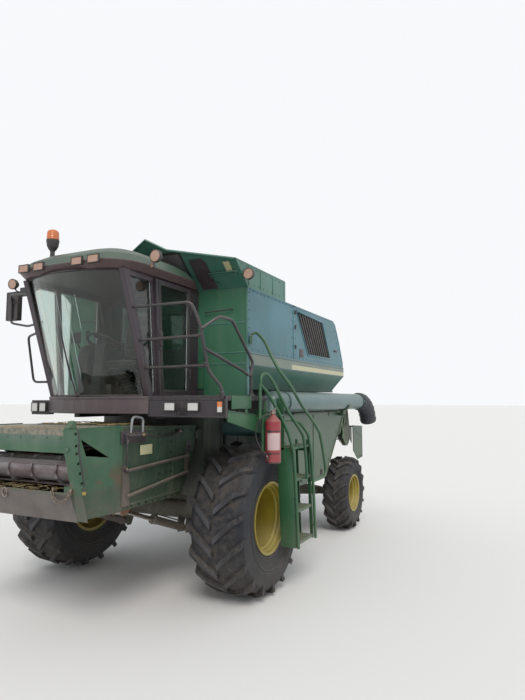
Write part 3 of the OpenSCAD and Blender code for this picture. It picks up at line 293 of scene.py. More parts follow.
def add_turned(bm, profile, centre, axis, steps=24, hollow=False):
    """A turned solid from (reach along the axis, radius) pairs; a hollow one is a closed ring."""
    axis = Vector(axis).normalized()
    side = axis.orthogonal().normalized()
    other = axis.cross(side)
    rings = []
    for reach, radius in profile:
        middle = at(*centre) + axis * reach / 1000
        turns = [2 * math.pi * k / steps for k in range(steps)]
        spots = [middle + (side * math.cos(a) + other * math.sin(a)) * radius / 1000 for a in turns]
        rings.append([bm.verts.new(spot) for spot in (spots if radius else spots[:1])])
    pairs = list(zip(rings, rings[1:])) + ([(rings[-1], rings[0])] if hollow else [])
    for lower, upper in pairs:
        for k in range(steps):
            ahead = (k + 1) % steps
            if len(lower) == 1:
                bm.faces.new((lower[0], upper[ahead], upper[k]))
            elif len(upper) == 1:
                bm.faces.new((lower[k], lower[ahead], upper[0]))
            else:
                bm.faces.new((lower[k], lower[ahead], upper[ahead], upper[k]))
    if not hollow:
        for ring in (rings[0], rings[-1]):
            if len(ring) > 1:
                bm.faces.new(ring)


def piece(name, bm, finish, body, keen=35):
    """Makes the shape an object in its place, on its body and in its finish."""
    bmesh.ops.recalc_face_normals(bm, faces=bm.faces)
    mesh = bpy.data.meshes.new(name)
    bm.to_mesh(mesh)
    bm.free()
    mesh.materials.append(finish)
    mesh.shade_smooth()
    mesh.set_sharp_from_angle(angle=math.radians(keen))
    obj = bpy.data.objects.new(name, mesh)
    bpy.context.scene.collection.objects.link(obj)
    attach(obj, body)
    return obj


hose_rubber = enamel("hose_rubber", (0.022, 0.021, 0.022), (0.040, 0.037, 0.035), dust=0.35, gloss=0.55,
                     chipped=0.0)
fitting_steel = enamel("fitting_steel", (0.30, 0.27, 0.24), (0.20, 0.15, 0.11), dust=0.4, gloss=0.42,
                       metal=0.6)
HOSES = [
    # name, body, diameter, stiffness, knots
    ("extinguisher_hose", "chassis", 14, "medium", [
        (398, 1900, 2184), (440, 1900, 2184), (492, 1893, 2176), (534, 1866, 2156), (556, 1830, 2120),
        (563, 1798, 2066),
        (562, 1778, 1998), (556, 1774, 1930), (545, 1786, 1866), (528, 1812, 1806), (508, 1844, 1758),
        (494, 1872, 1722), (488, 1886, 1690)]), ("coupler_hose_low", "feeder", 19, "medium", [
        (1590, 800, 1905), (1596, 803, 1868), (1606, 812, 1812), (1612, 820, 1750), (1612, 816, 1700),
        (1600, 806, 1655), (1584, 799, 1620)]), ("coupler_hose_high", "feeder", 19, "medium", [
        (1330, 812, 1968), (1280, 814, 1962), (1210, 814, 1946), (1120, 812, 1931), (1000, 806, 1923),
        (880, 802, 1926), (770, 800, 1938), (690, 800, 1954), (640, 800, 1964)]),
]
for name, body, size, stiffness, knots in HOSES:
    line = flowing(knots, HOSE_POINTS)
    bm = bmesh.new()
    add_tube(bm, line, size / 2000, 12)
    hose = piece(name, bm, hose_rubber, body, 60)
    bm = bmesh.new()
    for near, far in ((knots[0], knots[1]), (knots[-1], knots[-2])):
        aim = Vector(far) - Vector(near)
        add_turned(bm, [(-16, size * 0.5), (-14, size * 0.78), (4, size * 0.78), (6, size * 0.66),
                        (22, size * 0.62), (25, size * 0.54)], near, aim, 12)
    piece(name + "_fittings", bm, fitting_steel, body)

# The sheet-metal housings: grain tank, engine hood, fairing and the threshing body below.
# Thin pressed steel in old green enamel, blotchy with fading; on the flanks it is painted bluer with
# a painted sky reflection. Field dust lies on every face that looks up and in streaks below the edges.


def wear(finish, *names):
    """Puts a finish on CAD nodes."""
    for name in names:
        data = nodes[name].data
        data.materials.clear()
        data.materials.append(finish)


GREEN = (0.030, 0.118, 0.062)
GREEN_FADED = (0.052, 0.160, 0.098)
# The flanks' colours: green enamel painted bluer and lighter, a painted sky reflection.
FLANK_SKY_TINT = (0.028, 0.120, 0.146)
FLANK_SKY_TINT_FADED = (0.050, 0.168, 0.208)
green_enamel = enamel("green_enamel", (0.046, 0.142, 0.106), (0.078, 0.192, 0.156), dust=0.35)
sky_tinted_enamel = enamel("sky_tinted_green_enamel", FLANK_SKY_TINT, FLANK_SKY_TINT_FADED, dust=0.4, gloss=0.34)
dusty_enamel = enamel("dusty_green_enamel", (0.036, 0.080, 0.044), (0.060, 0.106, 0.062), dust=0.45)
belly_enamel = enamel("belly_enamel", (0.028, 0.040, 0.034), (0.045, 0.055, 0.045), dust=0.6, gloss=0.55)
wear(sky_tinted_enamel, "engine_hood")
wear(dusty_enamel, "side_shields", "straw_hood", "straw_chopper", "straw_deflector", "ladder",
     "ladder_handrails")
wear(green_enamel, "tank_extension", "lower_fairing")
wear(belly_enamel, "threshing_body", "front_axle", "rear_axle")

# The grain tank's coat: its front is darker green than its flanks, which are painted bluer and
# lighter with a painted sky reflection. The same enamel, dust and chips as on the other housings.
tank_finish, tree, place, spot = started("tank_enamel_sky_tinted")
apart = axes(tree, place.outputs["Normal"])
fade = patches(tree, spot, 1.1, 4.0, 0.38, 0.66)
front = spread(tree, apart["X"], 0.4, 0.8)
# Faces that look sideways take the painted sky reflection; faces that look forward keep the front's green.
sky_tinted_sides = blended(tree, fade, FLANK_SKY_TINT, FLANK_SKY_TINT_FADED)
coated(tree, place, blended(tree, front, sky_tinted_sides, blended(tree, fade, GREEN, GREEN_FADED)), dust=0.4,
       gloss=0.34)
wear(tank_finish, "grain_tank")

# Joints, hems and bolts of the housings: narrow steel strips over the seams, hexagon
# bolts with washers along the panel edges, all in the panels' own coat.
FLANK_Y = 1480
SEAM_X = -1270
TANK_FRONT = 200
HOOD_TOP = 3740
FLANK_LOW = 2930


def new_tree(name, **sockets):
    """An empty geometry tree with named inputs, a finish input and one output."""
    tree = bpy.data.node_groups.new(name, "GeometryNodeTree")
    tree.interface.new_socket("Places", in_out="INPUT", socket_type="NodeSocketGeometry")
    for label, value in sockets.items():
        kind = "NodeSocketInt" if isinstance(value, int) else "NodeSocketFloat"
        tree.interface.new_socket(label, in_out="INPUT", socket_type=kind).default_value = value
    tree.interface.new_socket("Finish", in_out="INPUT", socket_type="NodeSocketMaterial")
    tree.interface.new_socket("Result", in_out="OUTPUT", socket_type="NodeSocketGeometry")
    return tree, node(tree, "NodeGroupInput"), node(tree, "NodeGroupOutput")


def planted(tree, entry, end, **sockets):
    """Sets a shape on points, makes it real, gives it the finish and sends it out."""
    set_out = node(tree, "GeometryNodeInstanceOnPoints", **sockets)
    real = node(tree, "GeometryNodeRealizeInstances", Geometry=set_out.outputs[0])
    painted = node(tree, "GeometryNodeSetMaterial", Geometry=real.outputs[0],
                   Material=entry.outputs["Finish"])
    tree.links.new(painted.outputs[0], end.inputs[0])


def carried(tree, label, kind):
    """The values that a mesh carries under a name."""
    return node(tree, "GeometryNodeInputNamedAttribute", data_type=kind, Name=label).outputs["Attribute"]


def settled(obj):
    """The object's shape with its modifiers worked in, which are then taken off."""
    depsgraph = bpy.context.evaluated_depsgraph_get()
    mesh = bpy.data.meshes.new_from_object(obj.evaluated_get(depsgraph))
    obj.modifiers.clear()
    return mesh


def grown(name, places, tree, finish, body, slot, **sizes):
    """Runs a geometry tree on a mesh or curve and keeps its result as a plain mesh."""
    obj = bpy.data.objects.new(name, places)
    bpy.context.scene.collection.objects.link(obj)
    modifier = obj.modifiers.new("grown", "NODES")
    modifier.node_group = tree
    sockets = {item.name: item.identifier for item in tree.interface.items_tree if item.in_out == "INPUT"}
    modifier[sockets["Finish"]] = finish
    for label, value in sizes.items():
        modifier[sockets[label]] = value
    plain = settled(obj)
    if obj.type == "MESH":
        obj.data = plain
    else:
        bpy.data.objects.remove(obj)
        obj = bpy.data.objects.new(name, plain)
        bpy.context.scene.collection.objects.link(obj)
    plain.name = name
    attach(obj, body)
    return obj


bolt_tree, entry, end = new_tree("hexagon_bolts", Head=0.7, Washer=1.45)
hexagon = node(bolt_tree, "GeometryNodeMeshCylinder", Vertices=6, Radius=1.0, Depth=entry.outputs["Head"])
washer = node(bolt_tree, "GeometryNodeMeshCylinder", Vertices=10, Radius=entry.outputs["Washer"], Depth=0.22)
half_head = maths(bolt_tree, "MULTIPLY", entry.outputs["Head"], 0.5, False)
lift = node(bolt_tree, "ShaderNodeCombineXYZ", Z=half_head)
raised = node(bolt_tree, "GeometryNodeTransform", Geometry=hexagon.outputs["Mesh"],
              Translation=lift.outputs[0])
both = node(bolt_tree, "GeometryNodeJoinGeometry", Geometry=raised.outputs[0])
bolt_tree.links.new(washer.outputs["Mesh"], both.inputs[0])
turned = node(bolt_tree, "FunctionNodeAlignRotationToVector", axis="Z",
              Vector=carried(bolt_tree, "aim", "FLOAT_VECTOR"))
planted(bolt_tree, entry, end, Points=entry.outputs["Places"], Instance=both.outputs[0],
        Rotation=turned.outputs[0], Scale=carried(bolt_tree, "size", "FLOAT"))


def bolted(name, bolts, finish, body, slot, **sizes):
    """Bolts from (place, direction of the head, radius in millimetres)."""
    places = bpy.data.meshes.new(name)
    places.from_pydata([at(*spot) for spot, heading, radius in bolts], [], [])
    aims = places.attributes.new("aim", "FLOAT_VECTOR", "POINT")
    aims.data.foreach_set("vector", [number for spot, heading, radius in bolts for number in heading])
    radii = places.attributes.new("size", "FLOAT", "POINT")
    radii.data.foreach_set("value", [radius / 1000 for spot, heading, radius in bolts])
    return grown(name, places, bolt_tree, finish, body, slot, **sizes)


def row(start, finish_at, count, heading, radius):
    """Bolts in even steps from one place to another."""
    start, finish_at = Vector(start), Vector(finish_at)
    return [(tuple(start.lerp(finish_at, k / max(count - 1, 1))), heading, radius) for k in range(count)]


def mirrored(bolts):
    """The same bolts on both sides of the machine."""
    return bolts + [((x, -y, z), (a, -b, c), radius) for (x, y, z), (a, b, c), radius in bolts]


OUT = (0, 1, 0)


def side_rows(y, radius, *runs):
    """Bolts on a left side sheet, in even steps from (x, z) to (x, z), and how many."""
    spots = [((x0, y, z0), (x1, y, z1), count) for x0, z0, x1, z1, count in runs]
    return [bolt for start, stop, count in spots for bolt in row(start, stop, count, OUT, radius)]


flank_bolts = side_rows(FLANK_Y, 9, (160, 3010, 160, 3680, 7), (60, 3705, -1200, 3705, 12),
                        (-1225, 3620, -1225, 3010, 6), (-1315, 3620, -1315, 3010, 6),
                        (-3130, 3560, -3520, 3040, 6))
flank_bolts += side_rows(FLANK_Y, 8, (60, 2965, -3500, 2965, 24))
bolted("flank_bolts", mirrored(flank_bolts), sky_tinted_enamel, "chassis", "dusty_green")
extension_bolts = side_rows(FLANK_Y, 8, (-900, 3790, 150, 3790, 9), (-900, 3990, 380, 3990, 10))
extension_bolts += row((-960, 1300, 3790), (-960, -1300, 3790), 14, (-1, 0, 0), 8)
bolted("extension_bolts", mirrored(extension_bolts), green_enamel, "chassis", "green_paint")


def add_shell(bm, near, far):
    """Closes two like rings of places into a solid, and gives its faces."""
    near, far = [[bm.verts.new(spot) for spot in ring] for ring in (near, far)]
    faces = [bm.faces.new(list(reversed(near))), bm.faces.new(far)]
    for k in range(len(near)):
        ahead = (k + 1) % len(near)
        faces.append(bm.faces.new((near[k], near[ahead], far[ahead], far[k])))
    return faces


def add_plate(bm, outline, axis, near, far, bevel=0.0):
    """A plate: an outline in the two directions across the axis, from near to far, with softened edges."""
    turned = {"X": (2, 0, 1), "Y": (0, 2, 1), "Z": (0, 1, 2)}[axis]
    rings = []
    for depth in sorted((near, far)):
        rings.append([at(*[(a, b, depth)[k] for k in turned]) for a, b in outline])
    faces = add_shell(bm, *rings)
    if bevel:
        edges = list({edge for face in faces for edge in face.edges})
        bmesh.ops.bevel(bm, geom=edges, offset=bevel / 1000, segments=2, profile=0.5, affect="EDGES")


def add_box(bm, corner, opposite, bevel=0.0):
    """A box between two corners, with softened edges."""
    low, high = zip(*(sorted(pair) for pair in zip(corner, opposite)))
    outline = [(low[0], low[1]), (high[0], low[1]), (high[0], high[1]), (low[0], high[1])]
    add_plate(bm, outline, "Z", low[2], high[2], bevel)


bm = bmesh.new()
for side in (1, -1):
    outer, inner = side * (FLANK_Y + 4), side * (FLANK_Y - 2)
    add_box(bm, (SEAM_X - 26, outer, FLANK_LOW + 4), (SEAM_X + 26, inner, HOOD_TOP - 4), 1.5)
    add_box(bm, (-3060, outer, HOOD_TOP - 26), (150, inner, HOOD_TOP - 2), 1.5)
    hem = [(-3240, 3600), (-3400, 3382), (-3612, 3000), (-3590, 2996), (-3382, 3372), (-3222, 3590)]
    add_plate(bm, hem, "Y", outer, inner, 1.5)
piece("flank_seams", bm, sky_tinted_enamel, "chassis")

# The tank's rim: a steel tube folded into the upper edge of the extension, which follows the
# peak over its front, with upright braces welded to the sides below it.
SLOPE = 330 / 290
RIM_Y = 1470
RIM_Z = 4024
RIM_R = 0.015


def slope_x(z):
    """The slanted front of the tank's extension, at a height."""
    return TANK_FRONT + (z - HOOD_TOP) * SLOPE


bm = bmesh.new()
ridge = [(1480, 4030), (600, 4190), (380, 4310), (-20, 4180), (-600, 4180), (-1480, 4030)]
add_tube(bm, [at(slope_x(z) - 8, max(-1462, min(1462, y)), z - 6) for y, z in ridge], RIM_R, 8)
for side in (1, -1):
    add_tube(bm, [at(-950, side * RIM_Y, RIM_Z), at(520, side * RIM_Y, RIM_Z)], RIM_R, 8)
    brace = [(-930, 3760), (-900, 3760), (-900, 4010), (-930, 4010)]
    add_plate(bm, brace, "Y", side * 1484, side * RIM_Y, 2)
    for x in (-560, -180, 160):
        add_box(bm, (x, side * 1478, 3765), (x + 34, side * 1487, 4008), 3)
add_tube(bm, [at(-950, 1460, RIM_Z), at(-950, -1460, RIM_Z)], RIM_R, 8)
piece("tank_rim", bm, green_enamel, "chassis")

# The tank's front: pressed ribs, a step ledge, a dark rubber-edged hatch, a grab rail and
# a blank cream plate, all bolted or welded to the slanted and upright sheets.
LEDGE_Z = 3895
RAIL_Z = 3812
bm = bmesh.new()
for side in (1, -1):
    for z in (2778, 2918, 3290):
        add_box(bm, (198, side * 870, z), (207, side * 1462, z + 16), 3)
    add_box(bm, (196, side * 1452, 2350), (208, side * 1479, 3730), 3)
    ledge_x = slope_x(LEDGE_Z)
    add_box(bm, (ledge_x - 6, side * 1040, LEDGE_Z), (ledge_x + 46, side * 1440, LEDGE_Z + 11), 2)
    step = [(ledge_x - 4, 3850), (ledge_x + 40, 3896), (ledge_x - 4, 3896)]
    for y in (1060, 1410):
        add_plate(bm, step, "Y", side * y - 4, side * y + 4)
piece("tank_front_ribs", bm, green_enamel, "chassis")
bm = bmesh.new()
grab_rail = [(204, 880, 3452), (238, 880, 3452), (238, 1265, 3468), (204, 1265, 3468)]
rail_x = slope_x(RAIL_Z - 2)
hatch_rail = [(rail_x, 1020, RAIL_Z), (rail_x + 26, 1026, RAIL_Z), (rail_x + 26, 1110, RAIL_Z),
              (rail_x, 1116, RAIL_Z)]
for side in (1, -1):
    add_tube(bm, [at(x, side * y, z) for x, y, z in grab_rail], 0.008, 8)
    add_tube(bm, [at(x, side * y, z) for x, y, z in hatch_rail], 0.006, 8)
dark_enamel = enamel("dark_enamel", (0.040, 0.031, 0.037), (0.062, 0.050, 0.057), dust=0.35, gloss=0.45,
                     chipped=0.3)
piece("tank_front_rails", bm, dark_enamel, "chassis")


def add_slanted(bm, outline, near, far, side=1):
    """A plate on the slanted front, from (y, z) corners, between two distances from it."""
    add_shell(bm, *[[at(slope_x(z) + reach, side * y, z) for y, z in outline] for reach in (near, far)])


bm = bmesh.new()
hatch = [(838, 3752), (1064, 3752), (1064, 4020), (1030, 4060), (858, 4060), (838, 4030)]
for side in (1, -1):
    add_slanted(bm, hatch, -4, 14, side)
piece("tank_hatch", bm, dark_enamel, "chassis")
cream_enamel = enamel("cream_enamel", (0.46, 0.44, 0.25), (0.52, 0.50, 0.31), dust=0.35, gloss=0.4)
bm = bmesh.new()
add_slanted(bm, [(1290, 3905), (1375, 3905), (1375, 4005), (1290, 4005)], -2, 5)
piece("cream_plate", bm, cream_enamel, "chassis")

# The tank's window: toughened glass low in the peak of the extension, in a black rubber seal
# that is pressed over the edge of the sheet.
WINDOW_LOW = (440, 3800)
WINDOW_HIGH = (750, 4140)


def rectangle(low, high, wider):
    """The corners of a rectangle, made wider all round."""
    x0, y0, x1, y1 = low[0] - wider, low[1] - wider, high[0] + wider, high[1] + wider
    return [(x0, y0), (x1, y0), (x1, y1), (x0, y1)]


def frame_sides(outer, inner):
    """The four sides of a frame between two four-cornered outlines."""
    return [[outer[k - 1], outer[k], inner[k], inner[k - 1]] for k in (1, 2, 3, 0)]


bm = bmesh.new()
for quad in frame_sides(rectangle(WINDOW_LOW, WINDOW_HIGH, 16), rectangle(WINDOW_LOW, WINDOW_HIGH, -6)):
    add_slanted(bm, quad, -2, 9)
piece("window_seal", bm, hose_rubber, "chassis")

# The louvres of the engine hood: dark slats in a slanted opening with a folded frame. The blank
# plates and the hinges beside them are dark pressed steel, bolted to the flanks.
louvre = [(-1390, 3660), (-2500, 3630), (-2870, 3060), (-1840, 3050)]
frame_out = [(-1362, 3686), (-2512, 3655), (-2912, 3034), (-1826, 3024)]
louvre_dark = enamel("louvre_enamel", (0.050, 0.047, 0.048), (0.085, 0.080, 0.078), dust=0.3, gloss=0.5)
wear(louvre_dark, "engine_grilles")
bm = bmesh.new()
for side in (1, -1):
    for quad in frame_sides(frame_out, louvre):
        add_plate(bm, quad, "Y", side * 1478, side * 1489, 2)
piece("louvre_frames", bm, sky_tinted_enamel, "chassis")
bm = bmesh.new()
for side in (1, -1):
    add_box(bm, (-1640, side * 1478, 2985), (-1480, side * 1484, 3110), 3)
piece("blank_plates", bm, dark_enamel, "chassis")
bm = bmesh.new()
for side in (1, -1):
    for z in (3120, 3420, 3640):
        add_turned(bm, [(-30, 11), (-28, 13), (28, 13), (30, 11)], (SEAM_X - 44, side * 1490, z), (0, 0, 1),
                   12)
    add_box(bm, (-3240, side * 1478, 3190), (-3120, side * 1500, 3222), 6)
piece("hood_hinges", bm, dark_enamel, "chassis")

# The pale band along the flanks' foot: a formed steel strip with a cream stripe towards the rear.
# A rolled edge runs above and below it, fixed with it to the flank.
band_finish, tree, place, spot = started("pale_band_enamel")
apart = axes(tree, spot)
fade = patches(tree, spot, 1.4, 4.0, 0.38, 0.66)
ground = blended(tree, fade, (0.112, 0.155, 0.128), (0.160, 0.198, 0.158))
above = spread(tree, apart["Z"], 2.776, 2.778)
below = spread(tree, apart["Z"], 2.846, 2.848, 1.0, 0.0)
behind = spread(tree, apart["X"], 0.40, 0.42, 1.0, 0.0)
stripe = maths(tree, "MULTIPLY", maths(tree, "MULTIPLY", above, below), behind)
coated(tree, place, blended(tree, stripe, ground, (0.46, 0.44, 0.27)), dust=0.3, gloss=0.36)
wear(band_finish, "flank_band")
bm = bmesh.new()
for side in (1, -1):
    for z in (2766, 2908):
        add_box(bm, (-3612, side * 1488, z), (150, side * 1496, z + 12), 3)
piece("band_edges", bm, sky_tinted_enamel, "chassis")

# The tyres: black rubber with slanted lugs, moulded rings on the side walls, dust on
# the lugs' tops and dried soil in the gaps between them.
DRIVE_AXLE = (0, 915)
STEER_AXLE = (-3755, 650)


def from_axle(tree, place, axle):
    """Distance from a wheel's axle, in metres."""
    centre = at(axle[0], 0, axle[1])
    across = node(tree, "ShaderNodeVectorMath", operation="MULTIPLY_ADD", Vector=place.outputs["Object"])
    across.inputs[1].default_value = (1.0, 0.0, 1.0)
    across.inputs[2].default_value = (-centre.x, 0.0, -centre.z)
    reach = node(tree, "ShaderNodeVectorMath", operation="LENGTH", Vector=across.outputs[0])
    return reach.outputs["Value"]


def tyre_finish(name, axle, rim_r, crown):
    """Black rubber, dusty on the lugs, caked between them, with moulded rings on the side walls."""
    finish, tree, place, spot = started(name)
    reach = from_axle(tree, place, axle)
    groove = maths(tree, "MULTIPLY", spread(tree, reach, crown - 0.05, crown + 0.012),
                   spread(tree, reach, crown + 0.04, crown + 0.012))
    lug_top = spread(tree, reach, crown + 0.030, crown + 0.046)
    aged = blended(tree, patches(tree, spot, 3.0, 4.0, 0.4, 0.65), (0.008, 0.009, 0.014),
                   (0.017, 0.019, 0.026))
    soil = maths(tree, "MULTIPLY", patches(tree, spot, 14.0, 5.0, 0.42, 0.62), 0.75)
    caked = blended(tree, maths(tree, "MULTIPLY", groove, soil), aged, (0.072, 0.060, 0.050))
    scuffed = blended(tree, maths(tree, "MULTIPLY", lug_top, 0.55), caked, (0.088, 0.088, 0.098))
    grain = coated(tree, place, scuffed, dust=0.15, gloss=0.7, low_dust=0.9, chipped=0.0, grit=120.0)
    facing = axes(tree, place.outputs["Normal"])
    wall = spread(tree, maths(tree, "ABSOLUTE", facing["Y"], 0.0), 0.35, 0.6)
    wave = maths(tree, "SINE", maths(tree, "MULTIPLY", reach, 260.0, False), 0.0, False)
    band = maths(tree, "MULTIPLY", spread(tree, reach, rim_r + 0.02, rim_r + 0.03),
                 spread(tree, reach, rim_r + 0.16, rim_r + 0.15))
    height = maths(tree, "MULTIPLY", maths(tree, "MULTIPLY", wall, band), wave)
    rings = node(tree, "ShaderNodeBump", Strength=0.5, Distance=0.006, Height=height, Normal=grain.outputs[0])
    shaded(tree, Normal=rings.outputs[0])
    return finish


wear(tyre_finish("drive_tyre_rubber", DRIVE_AXLE, 0.432, 0.865), "drive_tyre_left", "drive_tyre_right")
wear(tyre_finish("steer_tyre_rubber", STEER_AXLE, 0.330, 0.600), "steer_tyre_left", "steer_tyre_right")

# Side wall rings: three raised beads moulded in the rubber of each tyre's outer and inner wall,
# turned round the axle along the slope of the wall.
wheels = [
    # side, axle, middle of the tyre, half width, rim radius, tyre radius, body, name
    (1, DRIVE_AXLE, 1400, 350, 432, 915, "drive_wheel_left", "drive_left"),
    (-1, DRIVE_AXLE, 1400, 350, 432, 915, "drive_wheel_right", "drive_right"),
    (1, STEER_AXLE, 1425, 225, 330, 650, "steer_wheel_left", "steer_left"),
    (-1, STEER_AXLE, 1425, 225, 330, 650, "steer_wheel_right", "steer_right"),
]
BEADS = ((0.10, 10, 5), (0.72, 9, 6), (0.86, 6, 4))
bead_rubber = enamel("bead_rubber", (0.016, 0.016, 0.021), (0.027, 0.027, 0.033), dust=0.24, gloss=0.62,
                     low_dust=1.0, chipped=0.0)
for side, axle, middle, half, rim_r, tyre_r, body, name in wheels:
    crown = tyre_r - 50
    r0, y0 = rim_r + 3, 0.8 * half + 4
    r1, y1 = (rim_r - 26 + crown) / 2 + 20, half
    lean = math.atan2(y1 - y0, r1 - r0)
    bm = bmesh.new()
    for facing in (1, -1):
        for share, width, rise in BEADS:
            r, y = r0 + (r1 - r0) * share, y0 + (y1 - y0) * share
            out, over = width * math.cos(lean), width * math.sin(lean)
            profile = [(y - over - 3, r - out), (y - over * 0.6 + rise, r - width * 0.6),
                       (y + over * 0.6 + rise, r + width * 0.6), (y + over - 3, r + out)]
            add_turned(bm, profile, (axle[0], side * middle, axle[1]), (0, side * facing, 0), 64, hollow=True)
    piece(name + "_wall_beads", bm, bead_rubber, body)

# The rims: deep pressed steel discs in yellow enamel, held by ten nuts, with grime and painted shade round
# the hub.
# Each hub has a cast cap with eight small bolts, and a valve stands in the disc.
hub_iron = enamel("hub_iron", (0.19, 0.145, 0.022), (0.14, 0.112, 0.034), dust=0.55, gloss=0.45, low_dust=0.9)


def rim_finish(name, axle, rim_r):
    """Yellow enamel, darker near the hub with grime and painted shade, and grimy at the flange."""
    finish, tree, place, spot = started(name)
    reach = from_axle(tree, place, axle)
    yellow = blended(tree, patches(tree, spot, 3.0, 4.0, 0.38, 0.66), (0.250, 0.186, 0.012),
                     (0.330, 0.262, 0.032))
    # Near the hub the yellow darkens: grime and painted shade of the deep disc.
    hub_grime_and_shade = maths(tree, "MULTIPLY", spread(tree, reach, 0.24, 0.12), 0.75)
    at_flange = maths(tree, "MULTIPLY", spread(tree, reach, rim_r - 0.012, rim_r), 0.4)
    spots = spread(tree, patches(tree, spot, 18.0, 5.0, 0.40, 0.62), 0.0, 1.0, 0.4, 1.0)
    grime_and_hub_shade = maths(tree, "MULTIPLY", maths(tree, "ADD", hub_grime_and_shade, at_flange), spots)
    coated(tree, place, blended(tree, grime_and_hub_shade, yellow, (0.105, 0.078, 0.040)), dust=0.35, gloss=0.36,
           low_dust=0.9, chipped=0.6)
    return finish


wear(rim_finish("drive_rim_yellow", DRIVE_AXLE, 0.432), "drive_rim_left", "drive_rim_right")
wear(rim_finish("steer_rim_yellow", STEER_AXLE, 0.330), "steer_rim_left", "steer_rim_right")


def circled(centre, radius, count, heading, size, turn=0.0):
    """Bolts on a circle round an axle across the machine."""
    spots = []
    for k in range(count):
        a = 2 * math.pi * k / count + turn
        spots.append((centre[0] + radius * math.sin(a), centre[1], centre[2] + radius * math.cos(a)))
    return [(spot, heading, size) for spot in spots]


HUB_CAP = [(-40, 0), (-40, 70), (-38, 96), (10, 96), (16, 90), (20, 70), (34, 62), (40, 50), (42, 0)]
VALVE = [(-12, 8), (0, 8), (4, 5), (40, 5), (42, 6), (56, 6), (58, 4)]
for side, axle, middle, half, rim_r, tyre_r, body, name in wheels:
    large = rim_r > 400
    hub_y = 1250 if large else 1355
    spigot = 1320 if large else 1415
    nuts = circled((axle[0], side * (hub_y + 16), axle[1]), 150, 10, (0, side, 0), 16)
    bolted(name + "_nuts", nuts, fitting_steel, body, "worn_steel", Head=1.3, Washer=1.5)
    bm = bmesh.new()
    add_turned(bm, HUB_CAP, (axle[0], side * spigot, axle[1]), (0, side, 0), 32)
    cap_bolts = circled((axle[0], side * (spigot + 12), axle[1]), 82, 8, (0, side, 0), 7, math.radians(20))
    for spot, heading, size in cap_bolts:
        add_turned(bm, [(-4, size), (9, size), (11, size - 2)], spot, heading, 6)
    piece(name + "_hub_cap", bm, hub_iron, body)
    bm = bmesh.new()
    valve_r = (rim_r - 74) * 0.7071
    foot = (axle[0] + valve_r, side * (middle + 0.32 * half + 40), axle[1] + valve_r)
    add_turned(bm, VALVE, foot, (0.35, side, 0.35), 10)
    piece(name + "_valve", bm, fitting_steel, body)

# The axles: cast final drives with bolted covers, a pressed front beam, and behind it the
# steered beam with its tie rod and steering cylinder.
cast_iron = enamel("cast_iron", (0.060, 0.058, 0.050), (0.095, 0.082, 0.064), dust=0.6, gloss=0.55, metal=0.2,
                   grit=90.0)
wear(cast_iron, "engine_block", "knuckle_left", "knuckle_right")
axle_bolts = circled((0, 898, 915), 200, 12, (0, -1, 0), 11) + circled((0, 1052, 915), 195, 12, OUT, 9)
axle_bolts += side_rows(830, 12, (-100, 1060, 100, 1060, 4))
bolted("final_drive_bolts", mirrored(axle_bolts), cast_iron, "chassis", "cast")
bm = bmesh.new()
for side in (1, -1):
    add_turned(bm, [(0, 226), (4, 232), (20, 232), (24, 226)], (0, side * 905, 915), (0, side, 0), 36)
    add_turned(bm, [(0, 60), (4, 64), (14, 64), (18, 40)], (0, side * 892, 1020), (0, -side, 0), 20)
piece("final_drive_rings", bm, cast_iron, "chassis")
bm = bmesh.new()
add_turned(bm, [(0, 34), (6, 38), (380, 38), (386, 30)], (-3640, -190, 700), (0, 1, 0), 20)
add_box(bm, (-3690, -220, 660), (-3664, 220, 740), 4)
for side in (1, -1):
    add_box(bm, (-3668, side * 120, 678), (-3620, side * 150, 722), 4)
piece("steering_cylinder", bm, cast_iron, "chassis")

# The body's sides: ribs of folded steel, a service lid, and rows of bolts along the edges of the
# side sheets, all of them soiled like the belly.
BODY_Y = 826
bm = bmesh.new()
for side in (1, -1):
    for x in (-300, -760):
        add_box(bm, (x, side * BODY_Y, 1180), (x + 40, side * 846, 2440), 4)
    for x0, x1 in ((-2500, -1000), (-4200, -2560)):
        add_box(bm, (x0, side * BODY_Y, 1560), (x1, side * 842, 1600), 4)
    add_box(bm, (-2480, side * BODY_Y, 860), (-1020, side * 850, 900), 4)
    add_box(bm, (-640, side * 828, 1700), (-340, side * 880, 2100), 10)
piece("body_ribs", bm, belly_enamel, "chassis")
body_bolts = side_rows(844, 8, (-980, 1580, -2480, 1580, 12), (-980, 880, -2440, 880, 12),
                       (-2600, 1580, -4150, 1580, 12), (120, 2400, 120, 1200, 9))
bolted("body_bolts", mirrored(body_bolts), belly_enamel, "chassis", "dusty_green")

# The cab's shell: a dark moulded base band, black posts and door frame, and a green roof
# whose overhanging brow is dark plastic. Seals are black rubber, pressed into the frames.
CAB_FLOOR = 2380
CAB_Y = 760
charcoal_enamel = enamel("charcoal_enamel", (0.072, 0.052, 0.058), (0.098, 0.078, 0.082), dust=0.3,
                         gloss=0.42, chipped=0.25)
post_enamel = enamel("post_enamel", (0.038, 0.028, 0.036), (0.058, 0.045, 0.054), dust=0.22, gloss=0.38,
                     chipped=0.2)
wear(charcoal_enamel, "cab_base")
fascia_enamel = enamel("fascia_enamel", (0.028, 0.022, 0.028), (0.044, 0.038, 0.044), dust=0.22, gloss=0.42)
wear(fascia_enamel, "platform")
wear(post_enamel, "cab_frame", "door_frame")
tube_enamel = enamel("black_tube_enamel", (0.026, 0.024, 0.028), (0.045, 0.040, 0.043), dust=0.25, gloss=0.36,
                     chipped=0.5)
wear(tube_enamel, "platform_railing", "side_mirror")
roof_finish, tree, place, spot = started("roof_enamel")
apart = axes(tree, place.outputs["Normal"])
height = axes(tree, spot)
fade = patches(tree, spot, 1.3, 4.0, 0.38, 0.66)
lid = maths(tree, "ADD", spread(tree, apart["Z"], 0.32, 0.40), spread(tree, height["Z"], 3.955, 3.965))
brow = (0.085, 0.052, 0.055)
